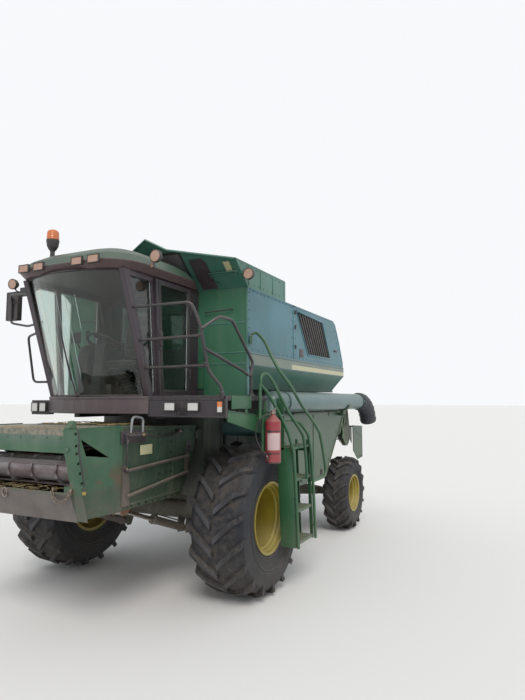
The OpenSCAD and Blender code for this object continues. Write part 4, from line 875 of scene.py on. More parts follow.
paint = blended(tree, fade, (0.026, 0.062, 0.042), (0.046, 0.084, 0.060))
coated(tree, place, blended(tree, lid, brow, paint), dust=0.16, gloss=0.42, chipped=0.2)
wear(roof_finish, "cab_roof")

BULGE = 190
CAB_FRONT = 1200


def bulged(half, count):
    """The bulged front of the cab, from left to right, as (x, y)."""
    shares = [1 - 2 * k / count for k in range(count + 1)]
    return [(CAB_FRONT + BULGE * (1 - t * t), half * t) for t in shares]


bm = bmesh.new()
for z, thick, proud in ((2350, 22, 7), (2186, 18, 6)):
    line = bulged(CAB_Y - 3, 24)
    lip = [(x + proud, y) for x, y in line] + [(x - 12, y) for x, y in reversed(line)]
    add_plate(bm, lip, "Z", z, z + thick)
    add_box(bm, (230, 2 - CAB_Y, z), (CAB_FRONT - 4, -CAB_Y - 4, z + thick), 2)
piece("base_band_lips", bm, charcoal_enamel, "chassis")

# Seals of the windscreen and the door: black extruded rubber. The windscreen's follow its bulged
# foot and head, and its posts; the door's is pressed flat round the frame.
LEAN = 470
ROOF_LOW = 3740
SEAL_R = 0.011


def post_x(z):
    """The front edge of the windscreen's post, at a height."""
    return CAB_FRONT - 10 + (z - CAB_FLOOR) * LEAN / (ROOF_LOW - CAB_FLOOR)


bm = bmesh.new()
for z, shift in ((2386, 0), (3733, 430)):
    add_tube(bm, [at(x + shift - 2, y, z) for x, y in bulged(684, 28)], SEAL_R, 8)
for side in (1, -1):
    add_tube(bm, [at(post_x(z) - 12, side * 688, z) for z in (2386, 3060, 3733)], SEAL_R, 8)
piece("windscreen_seal", bm, hose_rubber, "chassis")
bm = bmesh.new()
ring = [(470, 2420), (1014, 2420), (1110, 3690), (470, 3690)]
inset = [(506, 2454), (976, 2454), (1068, 3656), (506, 3656)]
for quad in frame_sides(ring, inset):
    add_plate(bm, quad, "Y", 795, 803, 2)
lip = ((500, 2450), (980, 2450), (1074, 3660), (500, 3660), (500, 2450))
add_tube(bm, [at(x, 799, z) for x, z in lip], 0.006, 6)
piece("door_seal", bm, hose_rubber, "cab_door")

# Door fittings: a black steel lever in its plate with a round lock below it, and two hinges
# with painted leaves, each held by three bolts.
bm = bmesh.new()
add_box(bm, (1040, 797, 2930), (1090, 806, 3130), 4)
add_box(bm, (1052, 826, 2944), (1080, 836, 3116), 5)
for z in (2960, 3100):
    add_box(bm, (1054, 800, z - 12), (1078, 832, z + 12), 3)
add_turned(bm, [(0, 14), (3, 16), (9, 16), (12, 12)], (1066, 804, 2920), (0, 1, 0), 16)
piece("door_handle", bm, tube_enamel, "cab_door")
bm = bmesh.new()
for z in (2600, 3400):
    add_box(bm, (440, 795, z + 8), (520, 803, z + 112), 3)
piece("door_hinge_leaves", bm, post_enamel, "cab_door")
door_bolts = side_rows(804, 8, (488, 2622, 488, 2698, 3), (488, 3422, 488, 3498, 3))
bolted("door_hinge_bolts", door_bolts, post_enamel, "cab_door", "charcoal")

# The wiper: a black steel arm and its blade, parked upright at the middle of the windscreen's
# foot on the turned cover of its shaft.
bm = bmesh.new()
add_turned(bm, [(-20, 26), (-4, 30), (10, 30), (18, 20)], (1388, -120, 2402), (1, 0, 0.2), 18)
add_tube(bm, [at(1402, -120, 2404), at(1418, -122, 2440), at(1600, -138, 2950)], 0.007, 8)
add_plate(bm, [(1458, 2560), (1470, 2556), (1668, 3138), (1656, 3142)], "Y", -146, -130, 2)
piece("wiper", bm, tube_enamel, "chassis")

# Seat: a sprung base in black steel, with a cushion and a back of woven cloth over foam.
# The pads are sewn, blown full by simulation and laid on their steel pans.
seat_finish, tree, place, spot = started("seat_cloth")
weaves = [node(tree, "ShaderNodeTexWave", bands_direction=way, Scale=420.0, Distortion=0.4, Vector=spot)
          for way in ("X", "Y")]
threads = maths(tree, "MULTIPLY", *[weave.outputs["Fac"] for weave in weaves])
cloth_colour = blended(tree, patches(tree, spot, 7.0, 3.0, 0.4, 0.65), (0.060, 0.052, 0.048),
                       (0.098, 0.086, 0.078))
cloth_colour = blended(tree, threads, cloth_colour, (0.125, 0.112, 0.100))
weave_bump = node(tree, "ShaderNodeBump", Strength=0.35, Distance=0.002, Height=threads)
shaded(tree, Base_Color=cloth_colour, Roughness=0.92, Sheen_Weight=0.25, Normal=weave_bump.outputs[0])
PAD_SWELL = 0.012
SEAM_REACH = 0.014
SEAM_DEPTH = 0.010
CLOTH_FRAMES = 20


def pad(name, low, high, thin, lean, seams):
    """A padded cushion: a pinched pillow, blown up by cloth simulation, with sewn channels pressed in."""
    size = [(b - a) / 1000 for a, b in zip(low, high)]
    middle = at(*[(a + b) / 2 for a, b in zip(low, high)])
    wide = [k for k in range(3) if k != thin]
    bm = bmesh.new()
    bmesh.ops.create_cube(bm, size=2.0)
    bmesh.ops.subdivide_edges(bm, edges=bm.edges[:], cuts=11, use_grid_fill=True)
    for vert in bm.verts:
        u, v, w = vert.co[wide[0]], vert.co[wide[1]], vert.co[thin]
        spot = [0.0, 0.0, 0.0]
        spot[wide[0]] = u * (0.97 - 0.04 * (1 - v * v))
        spot[wide[1]] = v * (0.97 - 0.04 * (1 - u * u))
        spot[thin] = w * (0.62 + 0.20 * (1 - u * u) * (1 - v * v)) * (1 - 0.12 * max(abs(u), abs(v)) ** 4)
        vert.co = Vector([spot[k] * size[k] / 2 for k in range(3)])
    bmesh.ops.recalc_face_normals(bm, faces=bm.faces)
    mesh = bpy.data.meshes.new(name)
    bm.to_mesh(mesh)
    bm.free()
    obj = bpy.data.objects.new(name, mesh)
    bpy.context.scene.collection.objects.link(obj)
    voxels = obj.modifiers.new("voxels", "REMESH")
    voxels.mode = "VOXEL"
    voxels.voxel_size = 0.008
    obj.data = settled(obj)
    rest = [vert.co.copy() for vert in obj.data.vertices]
    cloth = obj.modifiers.new("cloth", "CLOTH")
    cloth.settings.use_pressure = True
    cloth.settings.uniform_pressure_force = 4.0
    cloth.settings.effector_weights.gravity = 0.0
    for moment in range(1, CLOTH_FRAMES + 1):
        bpy.context.scene.frame_set(moment)
    blown = settled(obj)
    for vert, spot in zip(blown.vertices, rest):
        move = vert.co - spot
        vert.co = spot + move.normalized() * min(move.length, PAD_SWELL)
    obj.data = blown
    bpy.context.scene.frame_set(1)
    for vert in obj.data.vertices:
        for axis, value in seams:
            gap = abs(vert.co[axis] - value)
            if gap < SEAM_REACH:
                vert.co[thin] -= math.copysign(SEAM_DEPTH * (1 - gap / SEAM_REACH) ** 2, vert.co[thin])
        for k in range(3):
            vert.co[k] = min(max(vert.co[k], -size[k] / 2), size[k] / 2)
        vert.co.x += lean * vert.co.z
        vert.co += middle
    finer = obj.modifiers.new("finer", "SUBSURF")
    finer.levels = finer.render_levels = 1
    obj.data = settled(obj)
    obj.data.name = name
    obj.data.shade_smooth()
    obj.data.materials.clear()
    obj.data.materials.append(seat_finish)
    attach(obj, "chassis")
    return obj


pad("seat_cushion", (396, -246, 2724), (882, 246, 2838), 2, 0.0, [(0, -0.05), (0, 0.11), (1, -0.17),
        (1, 0.17)])
back_seams = [(2, -0.14), (2, 0.02), (2, 0.16), (1, -0.17), (1, 0.17)]
pad("seat_back_pad", (372, -232, 2850), (476, 232, 3446), 0, -0.129, back_seams)
bm = bmesh.new()
add_box(bm, (400, -236, 2706), (870, 236, 2724), 6)
add_plate(bm, [(392, 2712), (404, 2712), (398, 2860), (344, 3440), (332, 3440)], "Y", -214, 214, 3)
for x, z in ((440, 2390), (440, 2690)):
    add_box(bm, (x, -170, z), (x + 380, 170, z + 18), 4)
for side in (1, -1):
    for start, end in (((460, 2404), (800, 2690)), ((800, 2404), (460, 2690))):
        add_tube(bm, [at(start[0], side * 150, start[1]), at(end[0], side * 150, end[1])], 0.012, 8)
    add_turned(bm, [(-14, 30), (14, 30)], (470, side * 236, 2860), (0, 1, 0), 20)
    add_box(bm, (440, side * 240, 2850), (480, side * 262, 3080), 6)
    add_box(bm, (440, side * 250, 3060), (760, side * 312, 3098), 14)
for k in range(7):
    z = 2420 + k * 38
    add_turned(bm, [(-8, 96), (0, 108), (8, 96)], (620, 0, z), (0, 0, 1), 24)
seat_frame = piece("seat_frame", bm, tube_enamel, "chassis")
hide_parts("seat")

# Controls: a console with levers right of the seat, a wheel hub with a stalk, a display and two
# pedals in grained plastic, and a ribbed rubber mat on the floor.
plastic = enamel("grained_plastic", (0.040, 0.036, 0.038), (0.058, 0.052, 0.052), dust=0.3, gloss=0.55,
                 chipped=0.0, grit=420.0)
wear(plastic, "steering_column")
bm = bmesh.new()
console = [(470, 2390), (980, 2390), (1000, 2860), (940, 3010), (520, 3060), (470, 3040)]
add_plate(bm, console, "Y", -520, -352, 12)
for k in range(4):
    add_box(bm, (860 - 80 * k, -500, 3012 + 8 * k), (905 - 80 * k, -372, 3030 + 8 * k), 5)
add_tube(bm, [at(900, -436, 3010), at(918, -430, 3080), at(930, -420, 3150)], 0.011, 8)
add_turned(bm, [(-34, 14), (-20, 25), (10, 28), (34, 20), (44, 8)], (936, -418, 3172), (0.2, 0.05, 1), 14)
add_box(bm, (1046, -560, 3040), (1070, -420, 3180), 8)
add_tube(bm, [at(980, -470, 2940), at(1020, -484, 3020), at(1050, -490, 3070)], 0.010, 8)
for y in (-150, 120):
    add_box(bm, (1180, y, 2396), (1196, y + 90, 2520), 6)
    add_tube(bm, [at(1188, y + 45, 2520), at(1250, y + 45, 2560)], 0.009, 8)
add_tube(bm, [at(1108, 60, 2975), at(1096, 150, 2995), at(1090, 210, 3000)], 0.007, 8)
add_turned(bm, [(-16, 30), (10, 40), (18, 36), (22, 20)], (1104, 0, 3060), (-0.42, 0, 0.91), 24)
piece("cab_controls", bm, plastic, "chassis")
bm = bmesh.new()
add_box(bm, (250, -680, 2382), (1180, 680, 2388))
for k in range(24):
    x = 270 + k * 38
    add_box(bm, (x, -660, 2387), (x + 16, 660, 2391))
piece("cab_mat", bm, hose_rubber, "chassis")

# Glazing: lightly tinted toughened glass, filmed with dust and set in rubber. The tank's window
# is nearly blind with grain dust.
glazing, tree, place, spot = started("cab_glazing")
film = spread(tree, noise(tree, spot, 2.4, 5.0, (1.0, 1.0, 0.5)), 0.42, 0.70)
apart = axes(tree, spot)
in_tank = spread(tree, apart["Z"], 3.775, 3.785)
soiled = blended(tree, spread(tree, apart["Z"], 3.90, 4.06), (0.060, 0.125, 0.120), (0.135, 0.120, 0.128))
clear = blended(tree, film, (0.70, 0.80, 0.78), (0.80, 0.82, 0.74))
shaded(tree, Base_Color=blended(tree, in_tank, clear, soiled), Roughness=spread(tree, film, 0.0, 1.0, 0.015,
        0.11), Transmission_Weight=spread(tree, in_tank, 0.0, 1.0, 1.0, 0.1), IOR=1.45)
wear(glazing, "windscreen", "cab_glass", "door_glass")

# The platform beside the cab and its ladder: folded steel plate with punched anti-slip studs,
# a ribbed kick plate on the fascia, and tube rails held in welded collars.
stud_tree, entry, end = new_tree("punched_studs", Across=30, Along=12, Width=0.9, Depth=0.4, Stud=0.009)
grid = node(stud_tree, "GeometryNodeMeshGrid", Vertices_X=entry.outputs["Across"],
            Vertices_Y=entry.outputs["Along"], Size_X=entry.outputs["Width"], Size_Y=entry.outputs["Depth"])
stud = node(stud_tree, "GeometryNodeMeshCone", Vertices=8, Radius_Top=0.006, Depth=0.004,
            Radius_Bottom=entry.outputs["Stud"])
centre = node(stud_tree, "GeometryNodeSampleIndex", data_type="FLOAT_VECTOR",
              Geometry=entry.outputs["Places"], Value=carried(stud_tree, "middle", "FLOAT_VECTOR"))
set_down = node(stud_tree, "GeometryNodeTransform", Geometry=grid.outputs["Mesh"],
                Translation=centre.outputs[0])
planted(stud_tree, entry, end, Points=set_down.outputs[0], Instance=stud.outputs["Mesh"])


def ladder_front(z):
    """The front edge of the leaning ladder, at a height."""
    return -120 + (z - 610) * 120 / 1155


def studded(name, middle, across, along, width, depth, finish, slot):
    """A field of punched studs round a middle point on a deck or tread."""
    places = bpy.data.meshes.new(name)
    spot = at(*middle)
    places.from_pydata([spot], [], [])
    places.attributes.new("middle", "FLOAT_VECTOR", "POINT").data.foreach_set("vector", list(spot))
    return grown(name, places, stud_tree, finish, "chassis", slot, Across=across, Along=along,
                 Width=width / 1000, Depth=depth / 1000)


tread_enamel = enamel("tread_enamel", (0.030, 0.100, 0.048), (0.070, 0.128, 0.078), dust=0.6, gloss=0.5,
                      chipped=1.0)
wear(tread_enamel, "ladder_treads")
studded("deck_studs", (700, 1255, 2381), 26, 26, 900, 900, charcoal_enamel, "charcoal")
for k, z in enumerate((610, 995, 1380, 1765)):
    middle = (ladder_front(z) - 285, 1880, z + 1)
    studded("tread_studs_" + str(k + 1), middle, 15, 4, 500, 130, tread_enamel, "green_paint")
bm = bmesh.new()
for z in (2333, 2153):
    add_box(bm, (1198, 770, z), (1206, 1740, z + 14), 3)
for y in (766, 1738):
    add_box(bm, (1198, y - 6, 2153), (1206, y + 6, 2347), 3)
for k in range(22):
    add_box(bm, (1198, 1130 + k * 7, 2170), (1204, 1134 + k * 7, 2318), 1)
for x in (240, 420, 640, 860, 1080):
    add_box(bm, (x, 1746, 2336), (x + 60, 1753, 2376), 2)
add_box(bm, (1198, -1050, 2158), (1206, -770, 2172), 3)
piece("fascia_lips", bm, fascia_enamel, "chassis")
fascia_bolts = row((1203, 800, 2352), (1203, 1720, 2352), 7, (1, 0, 0), 7)
fascia_bolts += row((1203, 790, 2160), (1203, 1040, 2160), 3, (1, 0, 0), 7) + side_rows(1751, 7,
        (700, 2345, 1150, 2345, 4))
bolted("fascia_bolts", fascia_bolts, fascia_enamel, "chassis", "charcoal")

# Collars where the railing's tubes meet, and the foot flange of its rear post: turned steel in
# the tubes' own black enamel, welded on.
LEAN_RATE = LEAN / (ROOF_LOW - CAB_FLOOR)
bm = bmesh.new()
for y, z in ((1720, 2400), (1590, 2700), (1590, 2990)):
    spot = (1221 + (z - CAB_FLOOR) * LEAN_RATE, y, z)
    add_turned(bm, [(-26, 22), (-22, 25), (22, 25), (26, 22)], spot, (LEAN_RATE, 0, 1), 16)
for x, z in ((590, 2396), (590, 2706)):
    add_turned(bm, [(-16, 24), (-12, 28), (12, 28), (16, 24)], (x, 1730, z), (0, 0, 1), 16)
add_turned(bm, [(0, 46), (8, 46), (12, 40)], (590, 1730, 2380), (0, 0, 1), 20)
piece("rail_collars", bm, tube_enamel, "chassis")

# The ladder: a broad folded stringer ahead of the treads, a narrow one behind, open between them,
# hung from the landing. All of it is thin green plate with folded edges.
ladder_enamel = enamel("ladder_enamel", (0.018, 0.090, 0.036), (0.042, 0.122, 0.058), dust=0.3, gloss=0.36,
                       low_dust=1.0, chipped=0.9)
wear(ladder_enamel, "ladder_handrails")
LADDER_IN = 1780
LADDER_OUT = 1980
LADDER_FOOT = 560
LANDING = 1765
STEP_Z = 2160
DECK_Y = 1750
BOTTLE_BACK = 1900 - 90


def ladder_plate(bm, behind, top, near, far):
    """A leaning plate, a distance behind the ladder's front edge."""
    low, high = ladder_front(LADDER_FOOT) - behind, ladder_front(LANDING) - behind
    add_plate(bm, [(low, LADDER_FOOT), (low + 12, LADDER_FOOT), (high + 12, top), (high, top)], "Y", near,
              far, 2)


bm = bmesh.new()
add_box(bm, (-690, LADDER_IN, LANDING - 30), (12, LADDER_OUT, LANDING), 3)
ladder_plate(bm, 0, LANDING, LADDER_IN, LADDER_OUT)
ladder_plate(bm, 582, LANDING + 60, LADDER_OUT - 46, LADDER_OUT)
ladder_plate(bm, 582, LANDING + 60, LADDER_IN, LADDER_IN + 34)
ladder_plate(bm, 566, LANDING, LADDER_OUT - 8, LADDER_OUT)
ladder_plate(bm, 18, LANDING, LADDER_OUT - 6, LADDER_OUT)
add_box(bm, (0, LADDER_IN, LANDING - 30), (12, LADDER_IN + 100, CAB_FLOOR - 20), 2)
add_box(bm, (0, LADDER_IN - 200, STEP_Z - 20), (300, LADDER_IN + 100, STEP_Z), 2)
add_box(bm, (-690, 830, LANDING - 90), (-620, LADDER_OUT, LANDING - 30), 3)
add_box(bm, (160, 1600, STEP_Z), (250, DECK_Y - 20, CAB_FLOOR - 50), 2)
add_box(bm, (300, LADDER_IN - 80, STEP_Z - 20), (440, BOTTLE_BACK, STEP_Z), 2)
add_box(bm, (300, LADDER_IN + 8, 1750), (440, BOTTLE_BACK, STEP_Z - 20), 2)
add_plate(bm, [(1150, 2228), (1150, 2110), (290, 1930), (290, STEP_Z - 5)], "Y", DECK_Y - 12, DECK_Y, 2)
add_plate(bm, [(1146, 2226), (1146, 2216), (290, STEP_Z - 14), (290, STEP_Z - 5)], "Y", DECK_Y - 2,
          DECK_Y + 9, 2)
add_box(bm, (640, DECK_Y, CAB_FLOOR - 140), (1090, DECK_Y + 10, CAB_FLOOR), 3)
add_box(bm, (700, DECK_Y - 12, STEP_Z), (760, DECK_Y - 4, CAB_FLOOR - 50), 2)
ladder_shell = piece("ladder_shell", bm, ladder_enamel, "chassis")
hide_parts("ladder")
bolts = []
for z in (610, 995, 1380):
    for back in (8, 560):
        bolts.append(((ladder_front(z) - back, LADDER_OUT + 1, z - 20), OUT, 7))
bolted("ladder_bolts", bolts, ladder_enamel, "chassis", "green_paint")

# Lamps: moulded black housings with ribbed lenses, clear for work, amber for turning and red at
# the rear; the high lamps' white lenses are painted a darker peach, a painted warm reflection and shade.
# Their bezels are plastic strips round each lens, and the round ones are turned.
lens_finish, tree, place, spot = started("lamp_lens")
split = axes(tree, spot)
ribs = node(tree, "ShaderNodeTexWave", bands_direction="Y", Scale=36.0, Vector=spot).outputs["Fac"]
corner = maths(tree, "MULTIPLY", spread(tree, split["Y"], ORIGIN_Y + 1.64, ORIGIN_Y + 1.645),
               spread(tree, split["Z"], 2.262, 2.268))
clear = blended(tree, ribs, (0.50, 0.49, 0.48), (0.70, 0.69, 0.67))
# Painted reflection and shade: the white lenses of the lamps high on the cab are coloured a darker peach.
peach_painted_reflection = blended(tree, ribs, (0.36, 0.21, 0.15), (0.50, 0.30, 0.22))
shown = blended(tree, spread(tree, split["Z"], 3.0, 3.1), clear, peach_painted_reflection)
shown = blended(tree, corner, shown, (0.72, 0.19, 0.035))
shown = blended(tree, spread(tree, split["X"], -1.0, -1.2), shown, (0.42, 0.018, 0.014))
facing = axes(tree, place.outputs["Normal"])
glassy = spread(tree, maths(tree, "ABSOLUTE", facing["X"], 0.0), 0.93, 0.96)
ridge = node(tree, "ShaderNodeBump", Strength=0.5, Distance=0.003, Height=ribs)
shaded(tree, Base_Color=blended(tree, glassy, (0.020, 0.020, 0.023), shown), Coat_Weight=0.6,
       Roughness=spread(tree, glassy, 0.0, 1.0, 0.5, 0.12), Normal=ridge.outputs[0])
amber_finish, tree, place, spot = started("amber_lens")
bands = node(tree, "ShaderNodeTexWave", bands_direction="Z", Scale=55.0, Vector=spot)
amber = blended(tree, bands.outputs["Fac"], (0.50, 0.11, 0.022), (0.68, 0.19, 0.045))
shaded(tree, Base_Color=amber, Roughness=0.18, Coat_Weight=0.5)
for name in nodes:
    if "lamp" in name:
        wear(lens_finish, name)
LAMP_FACES = [
    # x, y, z, half width, half height
    (1225, 1060, 2265, 65, 40), (1225, 1360, 2265, 65, 40), (1225, 1690, 2265, 30, 55),
    (1225, -850, 2250, 50, 50), (1225, -985, 2250, 50, 50),
    (1865, 285, 3815, 70, 38), (1865, 515, 3815, 70, 38), (1865, -285, 3815, 70, 38),
    (1865, -515, 3815, 70, 38)]
bm = bmesh.new()
for x, y, z, wide, tall in LAMP_FACES:
    for end in (1, -1):
        add_box(bm, (x - 26, y - wide - 7, z + end * (tall - 1)), (x + 5, y + wide + 7, z + end * (tall + 8)),
                3)
        add_box(bm, (x - 26, y + end * (wide - 1), z - tall - 8), (x + 5, y + end * (wide + 7), z + tall + 8),
                3)
for x, y, z in ((300, 1552, 3872), (1330, 935, 3915)):
    add_turned(bm, [(-18, 60), (-6, 71), (36, 71), (39, 66), (34, 62), (-14, 56)], (x, y, z), (1, 0, 0), 28,
               True)
    add_turned(bm, [(-88, 18), (-84, 26), (-52, 44), (-46, 44)], (x, y, z), (1, 0, 0), 20)
for side in (1, -1):
    for y in (1214, 1306, 1400):
        add_box(bm, (-3652, side * y, 2928), (-3616, side * (y + 6), 3002), 2)
    for z in (2926, 2997):
        add_box(bm, (-3652, side * 1214, z), (-3616, side * 1406, z + 7), 2)
piece("lamp_bezels", bm, plastic, "chassis")

# The beacon: a dark moulded cup on a tube, under a ribbed amber dome. It stands on the cab's
# roof and takes the place of the plain one.
BEACON = (1400, -580, 0)
bm = bmesh.new()
add_turned(bm, [(4034, 34), (4040, 30), (4130, 27), (4146, 32), (4160, 46), (4200, 66), (4262, 76),
                (4274, 78), (4280, 74)], BEACON, (0, 0, 1), 32)
beacon_cup = piece("beacon_cup", bm, plastic, "chassis")
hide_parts("beacon")
bm = bmesh.new()
dome = [(4276, 70), (4284, 73)]
for k in range(5):
    z = 4290 + k * 18
    dome += [(z, 73.5 - k * 0.9), (z + 4, 75 - k * 0.9), (z + 10, 73 - k * 0.9)]
dome += [(4382, 66), (4396, 54), (4405, 34), (4409, 12), (4410, 0)]
add_turned(bm, dome, BEACON, (0, 0, 1), 32)
piece("beacon_dome", bm, amber_finish, "chassis")

# The mirror: a black moulded shell clamped to its arm, with silvered glass in a lip, and a small
# work lamp above it on bent tubes.
mirror_glass, tree, place, spot = started("mirror_glass")
haze = patches(tree, spot, 9.0, 4.0, 0.4, 0.7)
shaded(tree, Base_Color=blended(tree, haze, (0.62, 0.66, 0.68), (0.50, 0.52, 0.50)), Metallic=1.0,
       Roughness=spread(tree, haze, 0.0, 1.0, 0.05, 0.22))
MIRROR_LAMP = (1400, -1235, 3795)
MIRROR_AIM = (1, 0.1, -0.1)
bm = bmesh.new()
add_box(bm, (1325, -1350, 3362), (1331, -1190, 3678), 2)
piece("mirror_glass", bm, mirror_glass, "chassis")
bm = bmesh.new()
for y0, y1, z0, z1 in ((-1372, -1168, 3690, 3702), (-1372, -1168, 3338, 3350), (-1372, -1358, 3338, 3702),
                       (-1182, -1168, 3338, 3702)):
    add_box(bm, (1316, y0, z0), (1390, y1, z1), 4)
for z in (3450, 3600):
    add_turned(bm, [(-20, 20), (20, 20)], (1396, -1270, z), (0, 0, 1), 14)
add_turned(bm, [(-62, 20), (-56, 34), (-20, 60), (22, 68), (30, 66), (26, 60), (-18, 50)], MIRROR_LAMP,
           MIRROR_AIM, 24)
add_tube(bm, flowing([(1388, -1225, 3740), (1388, -1180, 3700), (1400, -1060, 3680), (1440, -960, 3690)], 12),
         0.010, 8)
add_tube(bm, flowing([(1470, -720, 3670), (1440, -800, 3672), (1428, -830, 3640), (1420, -835, 3500),
                      (1412, -810, 3350), (1405, -770, 3290), (1385, -712, 3280)], 24), 0.014, 10)
piece("mirror_shell", bm, plastic, "chassis")
bm = bmesh.new()
add_turned(bm, [(8, 52), (27, 58), (30, 40), (31, 0)], MIRROR_LAMP, MIRROR_AIM, 24)
piece("mirror_lamp_lens", bm, lens_finish, "chassis")

# Fire extinguisher: a red enamelled bottle in a strap holder, with a steel valve, a grip and a
# clip for the nozzle, and a blank label round its front.
BOTTLE = (370, 1900)
BOTTLE_R = 90


def arc(centre, radius, start, step, count):
    """Points round a centre, by angles in degrees."""
    turns = [math.radians(start + step * k) for k in range(count)]
    return [(centre[0] + radius * math.cos(a), centre[1] + radius * math.sin(a)) for a in turns]


red_enamel = enamel("red_enamel", (0.230, 0.020, 0.028), (0.310, 0.050, 0.062), dust=0.5, gloss=0.28,
                    low_dust=2.0, chipped=0.4)
wear(red_enamel, "fire_extinguisher")
bm = bmesh.new()
add_turned(bm, [(0, 24), (4, 28), (26, 28), (30, 22), (44, 20)], (*BOTTLE, 2176), (0, 0, 1), 20)
add_turned(bm, [(-14, 11), (30, 11), (32, 9)], (372, 1900, 2184), (1, 0, 0), 14)
add_box(bm, (300, 1892, 2212), (430, 1908, 2222), 3)
add_plate(bm, [(352, 2218), (300, 2250), (292, 2244), (296, 2236), (352, 2206)], "Y", 1893, 1907, 2)
add_turned(bm, [(-9, 16), (9, 16)], (370, 1868, 2196), (0, 1, 0), 18)
piece("extinguisher_valve", bm, fitting_steel, "chassis")
bm = bmesh.new()
for z in (1730, 1980):
    strap = [(-6, BOTTLE_R + 0.5), (-6, BOTTLE_R + 2), (6, BOTTLE_R + 2), (6, BOTTLE_R + 0.5)]
    add_turned(bm, strap, (*BOTTLE, z), (0, 0, 1), 40, True)
    add_box(bm, (455, 1886, z - 14), (476, 1914, z + 14), 3)
    add_box(bm, (362, 1800, z - 16), (378, 1812, z + 16), 3)
add_turned(bm, [(0, 93), (-10, 93), (-14, 84), (-4, 82)], (*BOTTLE, 1634), (0, 0, 1), 40, True)
add_box(bm, (458, 1880, 1668), (506, 1894, 1700), 4)
add_turned(bm, [(-30, 13), (-26, 15), (8, 12), (10, 10)], (488, 1886, 1684), (0, 0, 1), 16)
piece("extinguisher_straps", bm, tube_enamel, "chassis")
bm = bmesh.new()
outer, inner = [arc(BOTTLE, radius, -20, 8, 14) for radius in (BOTTLE_R + 0.6, BOTTLE_R - 0.759)]
add_plate(bm, outer + inner[::-1], "Z", 1768, 1962)
label_enamel = enamel("label_enamel", (0.44, 0.29, 0.28), (0.54, 0.44, 0.42), dust=0.4, gloss=0.4,
                      chipped=0.0)
piece("extinguisher_blank_label", bm, label_enamel, "chassis")

# The unloading auger: a rolled steel tube that folds back along the tank on a bolted swivel flange,
# with clamp bands where its sections join, ending in a ribbed black rubber spout.
# The auger's green enamel is painted bluer and lighter, a painted sky reflection like its top highlight.
auger_enamel_sky_tinted = enamel("auger_enamel_sky_tinted", (0.046, 0.106, 0.104), (0.076, 0.150, 0.150), dust=0.22, gloss=0.30)
wear(auger_enamel_sky_tinted, "auger_base", "auger_tube")
rubber_spout = enamel("spout_rubber", (0.020, 0.022, 0.032), (0.034, 0.036, 0.048), dust=0.24, gloss=0.55,
                      chipped=0.0)
wear(rubber_spout, "auger_spout")
TILT = math.radians(18.9)
SWIVEL = Vector((-math.sin(TILT), 0, math.cos(TILT)))
ELBOW = Vector((-380, 1500, 1980))
TUBE_R = 145
AUGER = (1500, 2310)
joint_at = ELBOW + SWIVEL * 174.4
side_way = SWIVEL.cross(Vector(OUT)).normalized()
for name, body, facing in (("auger_flange_bolts_low", "chassis", -1),
                           ("auger_flange_bolts_high", "unloader", 1)):
    ring = []
    for u, v in arc((0, 0), 162, 15, 30, 12):
        spot = joint_at + SWIVEL * 16 * facing + side_way * u + Vector(OUT) * v
        ring.append((tuple(spot), tuple(SWIVEL * facing), 9))
    bolted(name, ring, auger_enamel_sky_tinted, body, "green_paint")
bm = bmesh.new()
for x in (-760, -4420):
    for shift in (-22, 16):
        band = [(0, TUBE_R - 2), (0, TUBE_R + 7), (6, TUBE_R + 7), (6, TUBE_R - 2)]
        add_turned(bm, band, (x + shift, *AUGER), (1, 0, 0), 40, True)
    add_box(bm, (x - 22, 1500 + TUBE_R, 2290), (x + 22, 1500 + TUBE_R + 16, 2330), 4)
add_tube(bm, [at(x, 1500 - TUBE_R + 8, 2310 + TUBE_R - 24) for x in (-700, -1800, -3000, -4300)], 0.009, 8)
piece("auger_clamp_bands", bm, auger_enamel_sky_tinted, "unloader")
bm = bmesh.new()
add_plate(bm, arc(AUGER, 168, 205, 13, 11) + arc(AUGER, 152, 335, -13, 11), "X", -3560, -3440, 2)
add_box(bm, (-3545, 1470, 2060), (-3455, 1530, 2146), 4)
add_plate(bm, [(1404, 2060), (1530, 2060), (1530, 2084), (1404, 2120)], "X", -3540, -3460, 3)
piece("auger_cradle", bm, dusty_enamel, "chassis")
spout_tree, entry, end = new_tree("spout_ribs", Ribs=8, Reach=0.166, Thick=0.006)
along = node(spout_tree, "GeometryNodeResampleCurve", Curve=entry.outputs["Places"],
             Count=entry.outputs["Ribs"])
to_points = node(spout_tree, "GeometryNodeCurveToPoints", mode="COUNT", Curve=along.outputs[0],
                 Count=entry.outputs["Ribs"])


def wire_ring(tree, radius, wire, turns, **way):
    """A ring of round wire, stretched when a scale is given."""
    line = node(tree, "GeometryNodeCurvePrimitiveCircle", Resolution=turns, Radius=radius).outputs[0]
    if way:
        line = node(tree, "GeometryNodeTransform", Geometry=line, **way).outputs[0]
    bead = node(tree, "GeometryNodeCurvePrimitiveCircle", Resolution=6, Radius=wire)
    return node(tree, "GeometryNodeCurveToMesh", Curve=line, Profile_Curve=bead.outputs[0]).outputs[0]


planted(spout_tree, entry, end, Points=to_points.outputs["Points"], Rotation=to_points.outputs["Rotation"],
        Instance=wire_ring(spout_tree, entry.outputs["Reach"], entry.outputs["Thick"], 32))
route = bpy.data.curves.new("spout_ribs", "CURVE")
route.dimensions = "3D"
spine = route.splines.new("POLY")
bend = [(-4500, 2310), (-4610, 2310), (-4757, 2295), (-4898, 2252), (-4982, 2218), (-5104, 2142),
        (-5193, 2029), (-5240, 1945)]
spots = flowing([(x, AUGER[0], z) for x, z in bend], 24)
spine.points.add(len(spots) - 1)
for point, spot in zip(spine.points, spots):
    point.co = (*spot, 1.0)
grown("spout_ribs", route, spout_tree, rubber_spout, "unloader", "spout_rubber")

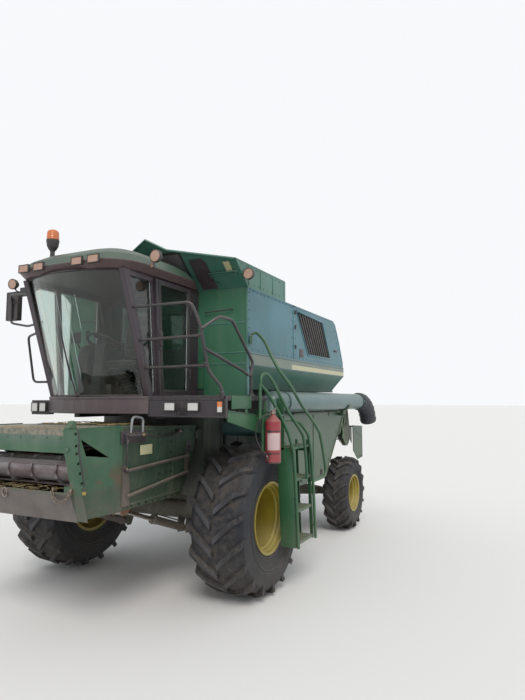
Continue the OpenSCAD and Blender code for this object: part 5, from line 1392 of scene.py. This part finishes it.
# Side shields over the drives: pressed steel doors in dusty green, folded along their edges, on
# two hinges above and held by two latches below.
SHIELD_Y = 1420
bm = bmesh.new()
for side in (1, -1):
    y0, y1 = side * (SHIELD_Y - 1), side * (SHIELD_Y + 9)
    for x0, x1, z in ((-3780, -1040, 2108), (-2760, -1540, 1084)):
        add_box(bm, (x0, y0, z), (x1, y1, z + 22), 4)
    add_plate(bm, [(-3830, 2112), (-3800, 2112), (-2786, 1098), (-2806, 1088)], "Y", y0, y1, 3)
    add_box(bm, (-2215, y0, 1120), (-2190, y1, 2100), 3)
    for x in (-1400, -3000):
        add_box(bm, (x - 60, y0, 2066), (x + 60, y1, 2104), 3)
        add_turned(bm, [(-60, 11), (60, 11)], (x, side * (SHIELD_Y + 12), 2128), (1, 0, 0), 14)
piece("shield_folds", bm, dusty_enamel, "chassis")
bm = bmesh.new()
for side in (1, -1):
    for x, z in ((-1660, 1150), (-2540, 1150)):
        y0, y1 = side * (SHIELD_Y + 1), side * (SHIELD_Y + 18)
        add_box(bm, (x - 16, y0, z - 46), (x + 16, y1, z + 46), 5)
        add_turned(bm, [(-4, 13), (4, 13), (8, 9)], (x, side * (SHIELD_Y + 16), z + 20), (0, side, 0), 16)
piece("shield_latches", bm, tube_enamel, "chassis")
shield_bolts = side_rows(SHIELD_Y + 1, 8, (-1090, 2060, -1060, 1560, 4), (-3620, 2050, -2920, 1320, 6))
bolted("shield_bolts", shield_bolts + mirrored(shield_bolts), dusty_enamel, "chassis", "dusty_green")

# Rear drives: cast iron pulleys with turned hubs and rims, and a dusty rubber belt run round the
# three of them on each side.
PULLEYS = [(-4560, 1640, 120), (-3980, 2010, 190), (-4420, 2120, 110)]
wear(cast_iron, "rear_drives")
belt_rubber = enamel("belt_rubber", (0.030, 0.027, 0.026), (0.060, 0.052, 0.044), dust=0.5, gloss=0.6,
                     chipped=0.0)


def belt(bm, wheels, side, near, far, thick):
    """A flat belt run round the wheels, given in order as (x, z, radius)."""
    outer = []
    inner = []
    for k in range(len(wheels)):
        before, here, ahead = wheels[k - 1], wheels[k], wheels[(k + 1) % len(wheels)]
        ends = []
        for a, b in ((before, here), (here, ahead)):
            gap = math.hypot(b[0] - a[0], b[1] - a[1])
            lie = math.atan2(b[1] - a[1], b[0] - a[0])
            ends.append(lie - math.pi / 2 - math.asin((b[2] - a[2]) / gap))
        start, stop = ends
        while stop < start:
            stop += 2 * math.pi
        step = math.degrees(stop - start) / 12
        outer += arc(here[:2], here[2] + thick, math.degrees(start), step, 13)
        inner += arc(here[:2], here[2] + 1, math.degrees(start), step, 13)
    total = len(outer)
    rings = []
    for line, depth in ((outer, near), (outer, far), (inner, far), (inner, near)):
        rings.append([bm.verts.new(at(x, side * depth, z)) for x, z in line])
    for a, b in zip(rings, rings[1:] + rings[:1]):
        for k in range(total):
            bm.faces.new((a[k], a[(k + 1) % total], b[(k + 1) % total], b[k]))


bm = bmesh.new()
for side in (1, -1):
    belt(bm, PULLEYS, side, 1130, 1166, 12)
piece("drive_belts", bm, belt_rubber, "chassis")
bm = bmesh.new()
for side in (1, -1):
    for x, z, reach in PULLEYS:
        face = (x, side * 1180, z)
        add_turned(bm, [(0, 46), (10, 44), (14, 30), (22, 28), (24, 24)], face, (0, side, 0), 20)
        rim = [(0, reach - 12), (0, reach - 4), (5, reach - 6), (5, reach - 12)]
        add_turned(bm, rim, face, (0, side, 0), 36, True)
piece("drive_hubs", bm, dusty_enamel, "chassis")

# Belt guards outside the rear drives: flanged plate covers, dull with dust and chaff, held by
# pale green tube struts from the body.
guard_enamel = enamel("guard_enamel", (0.030, 0.052, 0.026), (0.062, 0.076, 0.046), dust=0.6, gloss=0.5)
strut_enamel = enamel("strut_enamel", (0.145, 0.240, 0.120), (0.200, 0.290, 0.170), dust=0.3, gloss=0.4)
GUARD_Y = 1236
bm = bmesh.new()
for side in (1, -1):
    cover = arc(PULLEYS[0][:2], 214, -160, 20, 13)
    cover += [(-4330, 2010), (-4470, 2240), (-4640, 2200), (-4700, 1980), (-4765, 1760)]
    add_plate(bm, cover, "Y", side * GUARD_Y, side * (GUARD_Y + 5))
    for a, b in zip(cover, cover[1:] + cover[:1]):
        run = Vector((b[0] - a[0], b[1] - a[1])).normalized() * 4
        flange = [a, b, (b[0] - run.y, b[1] + run.x), (a[0] - run.y, a[1] + run.x)]
        add_plate(bm, flange, "Y", side * (GUARD_Y - 66), side * GUARD_Y)
    front_cover = [(-3740, 1560), (-4060, 1690), (-4180, 1960), (-4120, 2180), (-3900, 2230), (-3720, 2200)]
    add_plate(bm, front_cover, "Y", side * GUARD_Y, side * (GUARD_Y + 5))
piece("belt_guards", bm, guard_enamel, "chassis")
bm = bmesh.new()
for side in (1, -1):
    for x, z in ((-4650, 1990), (-4420, 1560), (-4120, 2150), (-3800, 1640)):
        add_tube(bm, [at(x, side * 820, z), at(x, side * (GUARD_Y + 2), z)], 0.012, 8)
    y = side * (GUARD_Y + 16)
    add_tube(bm, [at(-4160, y, 2170), at(-4330, y, 1560), at(-4480, y, 1460)], 0.013, 8)
    add_tube(bm, [at(-4480, y, 2190), at(-4250, y, 1590)], 0.013, 8)
    add_tube(bm, [at(-4060, y, 1690), at(-4380, y, 2140)], 0.013, 8)
piece("guard_struts", bm, strut_enamel, "chassis")

# The rear: folded seams round the straw hood, and rows of bolts along them and along the
# deflector's edges, all in dusty green steel.
bm = bmesh.new()
for side in (1, -1):
    y0, y1 = side * 829, side * 837
    add_plate(bm, [(-4256, 2452), (-4696, 2198), (-4686, 2178), (-4256, 2426)], "Y", y0, y1, 3)
    add_plate(bm, [(-4694, 1642), (-4306, 1506), (-4306, 1529), (-4690, 1664)], "Y", y0, y1, 3)
    add_box(bm, (-4274, y0, 1530), (-4252, y1, 2430), 3)
for x, z in ((-4787, 1900), (-4719, 2152)):
    add_box(bm, (x, -800, z), (x + 18, 800, z + 18), 3)
piece("straw_hood_folds", bm, dusty_enamel, "chassis")
hood_bolts = side_rows(838, 8, (-4660, 2206, -4290, 2420, 5), (-4263, 1640, -4263, 2340, 6))
bolted("straw_hood_bolts", hood_bolts + mirrored(hood_bolts), dusty_enamel, "chassis", "dusty_green")
deflector_bolts = side_rows(1281, 8, (-4960, 1730, -5440, 1560, 5), (-5220, 1150, -5500, 1160, 4))
bolted("deflector_bolts", deflector_bolts + mirrored(deflector_bolts), dusty_enamel, "deflector",
       "dusty_green")

# The feeder house: a welded steel housing, dark with oil and dust outside and rusty inside, with
# pressed ribs and a bolted access cover, and a drum and slats polished by the crop.


def between(tree, across, none_at, full_at):
    """The part of a piece between the two sides of the feeder house."""
    return maths(tree, "MULTIPLY", spread(tree, across, ORIGIN_Y + none_at, ORIGIN_Y + full_at),
                 spread(tree, across, ORIGIN_Y - none_at, ORIGIN_Y - full_at))


feeder_finish, tree, place, spot = started("feeder_enamel")
apart = axes(tree, spot)
inside = between(tree, apart["Y"], 0.742, 0.738)
inside = maths(tree, "MULTIPLY", inside, spread(tree, apart["Z"], 2.052, 2.046))
fade = patches(tree, spot, 2.3, 5.0, 0.38, 0.66)
outside = blended(tree, fade, (0.020, 0.050, 0.028), (0.038, 0.066, 0.040))
rusty = blended(tree, fade, (0.135, 0.056, 0.038), (0.225, 0.112, 0.070))
coated(tree, place, blended(tree, inside, outside, rusty), dust=0.6, gloss=0.5)
wear(feeder_finish, "feeder_house")
frame_finish, tree, place, spot = started("frame_enamel")
apart = axes(tree, spot)
fade = patches(tree, spot, 2.8, 5.0, 0.36, 0.66)
ends = maths(tree, "ADD", spread(tree, apart["Y"], ORIGIN_Y + 0.730, ORIGIN_Y + 0.738),
             spread(tree, apart["Y"], ORIGIN_Y - 0.730, ORIGIN_Y - 0.738))
green = blended(tree, fade, (0.034, 0.098, 0.052), (0.062, 0.132, 0.078))
rust = maths(tree, "MULTIPLY", patches(tree, spot, 6.0, 5.0, 0.50, 0.60),
             spread(tree, apart["Z"], 1.75, 1.55))
green = blended(tree, maths(tree, "MULTIPLY", rust, 0.7), green, (0.125, 0.070, 0.046))
chaffy = blended(tree, patches(tree, spot, 26.0, 5.0, 0.38, 0.62), (0.125, 0.130, 0.108),
                 (0.250, 0.225, 0.165))
beam = blended(tree, fade, (0.066, 0.118, 0.086), (0.100, 0.150, 0.118))
beam = blended(tree, ends, blended(tree, spread(tree, apart["Z"], 2.008, 2.016), beam, chaffy), green)
lip = blended(tree, fade, (0.085, 0.072, 0.068), (0.150, 0.128, 0.122))
lip = blended(tree, ends, lip, blended(tree, fade, (0.030, 0.080, 0.044), (0.085, 0.082, 0.066)))
shown = blended(tree, spread(tree, apart["Z"], 1.90, 2.0), green, beam)
coated(tree, place, blended(tree, spread(tree, apart["Z"], 1.50, 1.44), shown, lip), dust=0.45, gloss=0.42)
wear(frame_finish, "header_frame")
drum_finish, tree, place, spot = started("worn_conveyor_steel")
polish = spread(tree, noise(tree, spot, 5.0, 5.0, (1.0, 0.3, 1.0)), 0.38, 0.62)
bright = blended(tree, polish, (0.250, 0.190, 0.185), (0.520, 0.490, 0.520))
coated(tree, place, bright, dust=0.25, gloss=0.36, metal=0.2)
wear(drum_finish, "feeder_conveyor")
link_steel = enamel("link_steel", (0.070, 0.060, 0.052), (0.125, 0.104, 0.086), dust=0.45, gloss=0.42)
wear(link_steel, "feeder_links")
handle_steel = enamel("handle_steel", (0.34, 0.36, 0.37), (0.24, 0.25, 0.25), dust=0.15, gloss=0.38,
                      metal=0.3, chipped=0.2)
wear(handle_steel, "coupler_handle")
FEEDER_Y = 750
bm = bmesh.new()
for side in (1, -1):
    y0, y1 = side * (FEEDER_Y - 1), side * (FEEDER_Y + 8)
    for outline in ([(560, 1236), (1480, 1236), (1480, 1262), (570, 1262)],
                    [(300, 1984), (1280, 2000), (1280, 2022), (300, 2008)],
                    [(700, 1270), (724, 1270), (724, 1985), (700, 1985)],
                    [(1010, 1270), (1034, 1270), (1034, 1700), (1010, 1700)]):
        add_plate(bm, outline, "Y", y0, y1, 2)
    add_plate(bm, [(744, 1490), (744, 1960), (990, 1960), (990, 1730), (1006, 1730), (1006, 1490)], "Y", y0,
              y1, 2)
for y in (-500, 0, 500):
    add_plate(bm, [(320, 2026), (1580, 2058), (1580, 2068), (320, 2034)], "Y", y - 26, y + 26, 2)
piece("feeder_ribs", bm, feeder_finish, "feeder")
feeder_bolts = side_rows(759, 7, (764, 1940, 970, 1940, 3), (764, 1510, 986, 1510, 3),
                         (764, 1600, 764, 1850, 3))
feeder_bolts += side_rows(751, 8, (600, 1222, 1440, 1222, 8), (340, 1966, 660, 1970, 3))
bolted("feeder_bolts", feeder_bolts + mirrored(feeder_bolts), feeder_finish, "feeder", "worn_steel")

# The hydraulic coupler on the feeder's left side: a machined block with quick couplings and caps,
# its bracket, a blank plate below it, and the hose brackets further back.
bm = bmesh.new()
add_box(bm, (1240, 754, 1880), (1640, 766, 2012), 3)
add_box(bm, (1300, 766, 1925), (1610, 806, 1990), 5)
for x in (1340, 1390, 1450, 1510, 1570):
    add_turned(bm, [(-12, 15), (-10, 19), (14, 19), (18, 15), (30, 15), (34, 12)], (x, 820, 1960),
               (0, 1, 0.15), 16)
add_box(bm, (1574, 770, 1884), (1606, 812, 1926), 4)
add_box(bm, (610, 756, 1940), (650, 808, 1990), 4)
add_box(bm, (1566, 768, 1596), (1602, 812, 1620), 4)
add_box(bm, (345, 752, 1690), (446, 764, 1838), 3)
add_turned(bm, [(-10, 12), (44, 12), (48, 9)], (396, 764, 1770), (0, 1, 0), 14)
piece("coupler_block", bm, dark_enamel, "feeder")
bm = bmesh.new()
add_box(bm, (1120, 757, 1742), (1330, 764, 1850), 3)
piece("feeder_blank_plate", bm, cream_enamel, "feeder")
yellow_cap = enamel("yellow_cap", (0.40, 0.25, 0.03), (0.32, 0.21, 0.05), dust=0.45, gloss=0.4, chipped=0.0)
bm = bmesh.new()
add_turned(bm, [(-20, 13), (-16, 16), (12, 16), (16, 12)], (2256, 870, 1482), (0, 1, 0), 18)
add_turned(bm, [(-4, 12), (8, 12), (12, 9)], (1390, 850, 1964), (0, 1, 0.15), 14)
piece("coupler_caps", bm, yellow_cap, "feeder")

# The header frame: a welded beam over a bolted lip, with hooks, stiffening plates and folded end
# plates, and its lock's steel shackle and chain.
bm = bmesh.new()
for side in (1, -1):
    y0, y1 = side * 742, side * 800
    hook = [(2296, 2068), (2398, 2068), (2398, 2088), (2368, 2092), (2352, 2138), (2326, 2146), (2306, 2120),
            (2322, 2100), (2298, 2092)]
    add_plate(bm, hook, "Y", y0, y1, 3)
    y0, y1 = side * 757, side * 852
    for x, z in ((2290, 1560), (2347, 1760), (2376, 1900)):
        add_plate(bm, [(x - 102, z), (x, z), (x, z + 10), (x - 102, z + 10)], "Y", y0, y1, 2)
    add_box(bm, (2240, side * 848 - 6, 1460), (2274, side * 848 + 6, 1504), 2)
    add_turned(bm, [(-14, 22), (14, 22), (18, 17)], (2382, side * 780, 1882), (1, 0, 0), 6)
for y in (-560, -280, 0, 280, 560):
    add_plate(bm, [(2236, 1962), (2388, 1962), (2398, 2066), (2236, 2066)], "Y", y - 7, y + 7, 2)
add_box(bm, (1996, -740, 1300), (2004, 740, 1330), 2)
piece("frame_plates", bm, frame_finish, "feeder")
bm = bmesh.new()
groove = [(2336, 2064), (2316, 1850), (2237, 1534), (2249, 1534), (2328, 1848), (2348, 2064)]
for side in (1, -1):
    add_plate(bm, groove, "Y", side * 858, side * 864, 1)
piece("frame_folds", bm, dark_enamel, "feeder")
frame_bolts = row((2200, -700, 1477), (2200, 700, 1477), 13, (0, 0, 1), 9)
frame_bolts += row((2392.5, -700, 1990), (2392.5, 700, 1990), 9, (1, 0, 0), 9)
frame_bolts += row((2260, -700, 2074), (2260, 700, 2074), 9, (0, 0, 1), 8)
flange_bolts = side_rows(861, 9, (2278, 1575, 2353, 1850, 4), (2362, 1920, 2371, 2030, 2))
bolted("frame_bolts", frame_bolts + flange_bolts + mirrored(flange_bolts), frame_finish, "feeder",
       "dusty_green")
link_tree, entry, end = new_tree("chain_links", Reach=0.016, Wire=0.0045, Stretch=1.45)
longer = node(link_tree, "ShaderNodeCombineXYZ", X=entry.outputs["Stretch"], Y=1.0, Z=1.0)
link = wire_ring(link_tree, entry.outputs["Reach"], entry.outputs["Wire"], 12, Scale=longer.outputs[0])
planted(link_tree, entry, end, Points=entry.outputs["Places"], Instance=link,
        Rotation=carried(link_tree, "lie", "FLOAT_VECTOR"))
sag = [(2290, 742, 1500), (2306, 724, 1444), (2312, 680, 1404), (2312, 620, 1392), (2308, 560, 1410),
       (2300, 520, 1474)]
chain_knots = flowing(sag, 15)
places = bpy.data.meshes.new("lock_chain")
places.from_pydata(chain_knots, [], [])
lies = []
for k, spot in enumerate(chain_knots):
    aim = (chain_knots[min(k + 1, len(chain_knots) - 1)] - chain_knots[max(k - 1, 0)]).normalized()
    turn = aim.to_track_quat("X", "Z") @ Matrix.Rotation(math.pi / 2 * (k % 2), 4, "X").to_quaternion()
    lies.extend(turn.to_euler())
places.attributes.new("lie", "FLOAT_VECTOR", "POINT").data.foreach_set("vector", lies)
grown("lock_chain", places, link_tree, fitting_steel, "feeder", "worn_steel")
bm = bmesh.new()
loop = [at(2288 + 4 * math.sin(a), -140 + 34 * math.cos(a),
           1430 + 46 * math.sin(a)) for a in [2 * math.pi * k / 20 for k in range(20)]]
add_tube(bm, loop, 0.0075, 8)
for y in (742, 520):
    add_box(bm, (2278, y - 10, 1478), (2300, y + 10, 1520), 3)
piece("lock_shackle", bm, fitting_steel, "feeder")

# Straw left on the beam, on the lip and on the feeder house: short cut stalks of many lengths,
# strewn with a fixed seed and lying where they fell.
straw_colour = enamel("straw", (0.36, 0.26, 0.115), (0.48, 0.37, 0.19), dust=0.2, gloss=0.75, chipped=0.0)
straw_tree, entry, end = new_tree("strewn_straw", Density=150.0, Seed=7, Long=0.10, Thin=0.0035)
strewn = node(straw_tree, "GeometryNodeDistributePointsOnFaces", Mesh=entry.outputs["Places"],
              Density=entry.outputs["Density"], Seed=entry.outputs["Seed"])
stalk = node(straw_tree, "GeometryNodeMeshCylinder", Vertices=5, Depth=entry.outputs["Long"],
             Radius=entry.outputs["Thin"])
any_turn = node(straw_tree, "FunctionNodeRandomValue", data_type="FLOAT_VECTOR", Seed=3)
any_turn.inputs[0].default_value = (1.42, -0.1, 0.0)
any_turn.inputs[1].default_value = (1.70, 0.1, 6.283)
any_size = node(straw_tree, "FunctionNodeRandomValue", data_type="FLOAT", Seed=5)
any_size.inputs[2].default_value = 0.35
any_size.inputs[3].default_value = 1.0
planted(straw_tree, entry, end, Points=strewn.outputs["Points"], Instance=stalk.outputs["Mesh"],
        Rotation=any_turn.outputs[0], Scale=any_size.outputs[1])
beds = bpy.data.meshes.new("straw")
corners = []
for low, high, z in (((2250, -735), (2358, 735), 2074), ((2040, -690), (2270, 690), 1481),
                     ((900, -560), (1560, 560), 2071)):
    corners.extend(at(x, y, z) for x, y in rectangle(low, high, 0))
beds.from_pydata(corners, [], [(0, 1, 2, 3), (4, 5, 6, 7), (8, 9, 10, 11)])
grown("straw", beds, straw_tree, straw_colour, "feeder", "pale_band", Density=340.0, Long=0.075)

# Lift cylinders: painted barrels with gland nuts, oil ports and a steel pipe along each, over
# chromed rods that are smeared with oil and dust.
wear(link_steel, "lift_barrels")
chrome, tree, place, spot = started("rod_chrome")
smear = patches(tree, spot, 12.0, 4.0, 0.42, 0.68)
shaded(tree, Base_Color=blended(tree, smear, (0.56, 0.55, 0.54), (0.34, 0.30, 0.26)), Metallic=0.9,
       Roughness=spread(tree, smear, 0.0, 1.0, 0.12, 0.45))
wear(chrome, "lift_rods")
LIFT_FOOT = Vector((60, 0, 690))
LIFT_EYE = Vector((1300, 0, 1130))
lift_way = (LIFT_EYE - LIFT_FOOT).normalized()
BARREL_R = 48
bm = bmesh.new()
for side in (1, -1):
    foot = LIFT_FOOT + Vector((0, side * 480, 0))
    for near, far, reach in ((88, 108, BARREL_R + 7), (676, 710, BARREL_R + 8), (640, 652, BARREL_R + 5)):
        collar = [(near, BARREL_R - 1), (near, reach - 3), (near + 4, reach), (far - 4, reach),
                  (far, reach - 3), (far, BARREL_R - 1)]
        add_turned(bm, collar, tuple(foot), lift_way, 32, True)
    up = Vector((-lift_way.z, 0, lift_way.x))
    for reach in (130, 640):
        spot = foot + lift_way * reach + up * (BARREL_R + 2)
        add_turned(bm, [(-6, 17), (10, 17), (14, 13), (24, 13)], tuple(spot), up, 6)
    line = [at(*(foot + lift_way * reach + up * (BARREL_R + 22))) for reach in (130, 250, 400, 520, 640)]
    add_tube(bm, line, 0.008, 8)
piece("lift_glands", bm, link_steel, "lift_barrel")
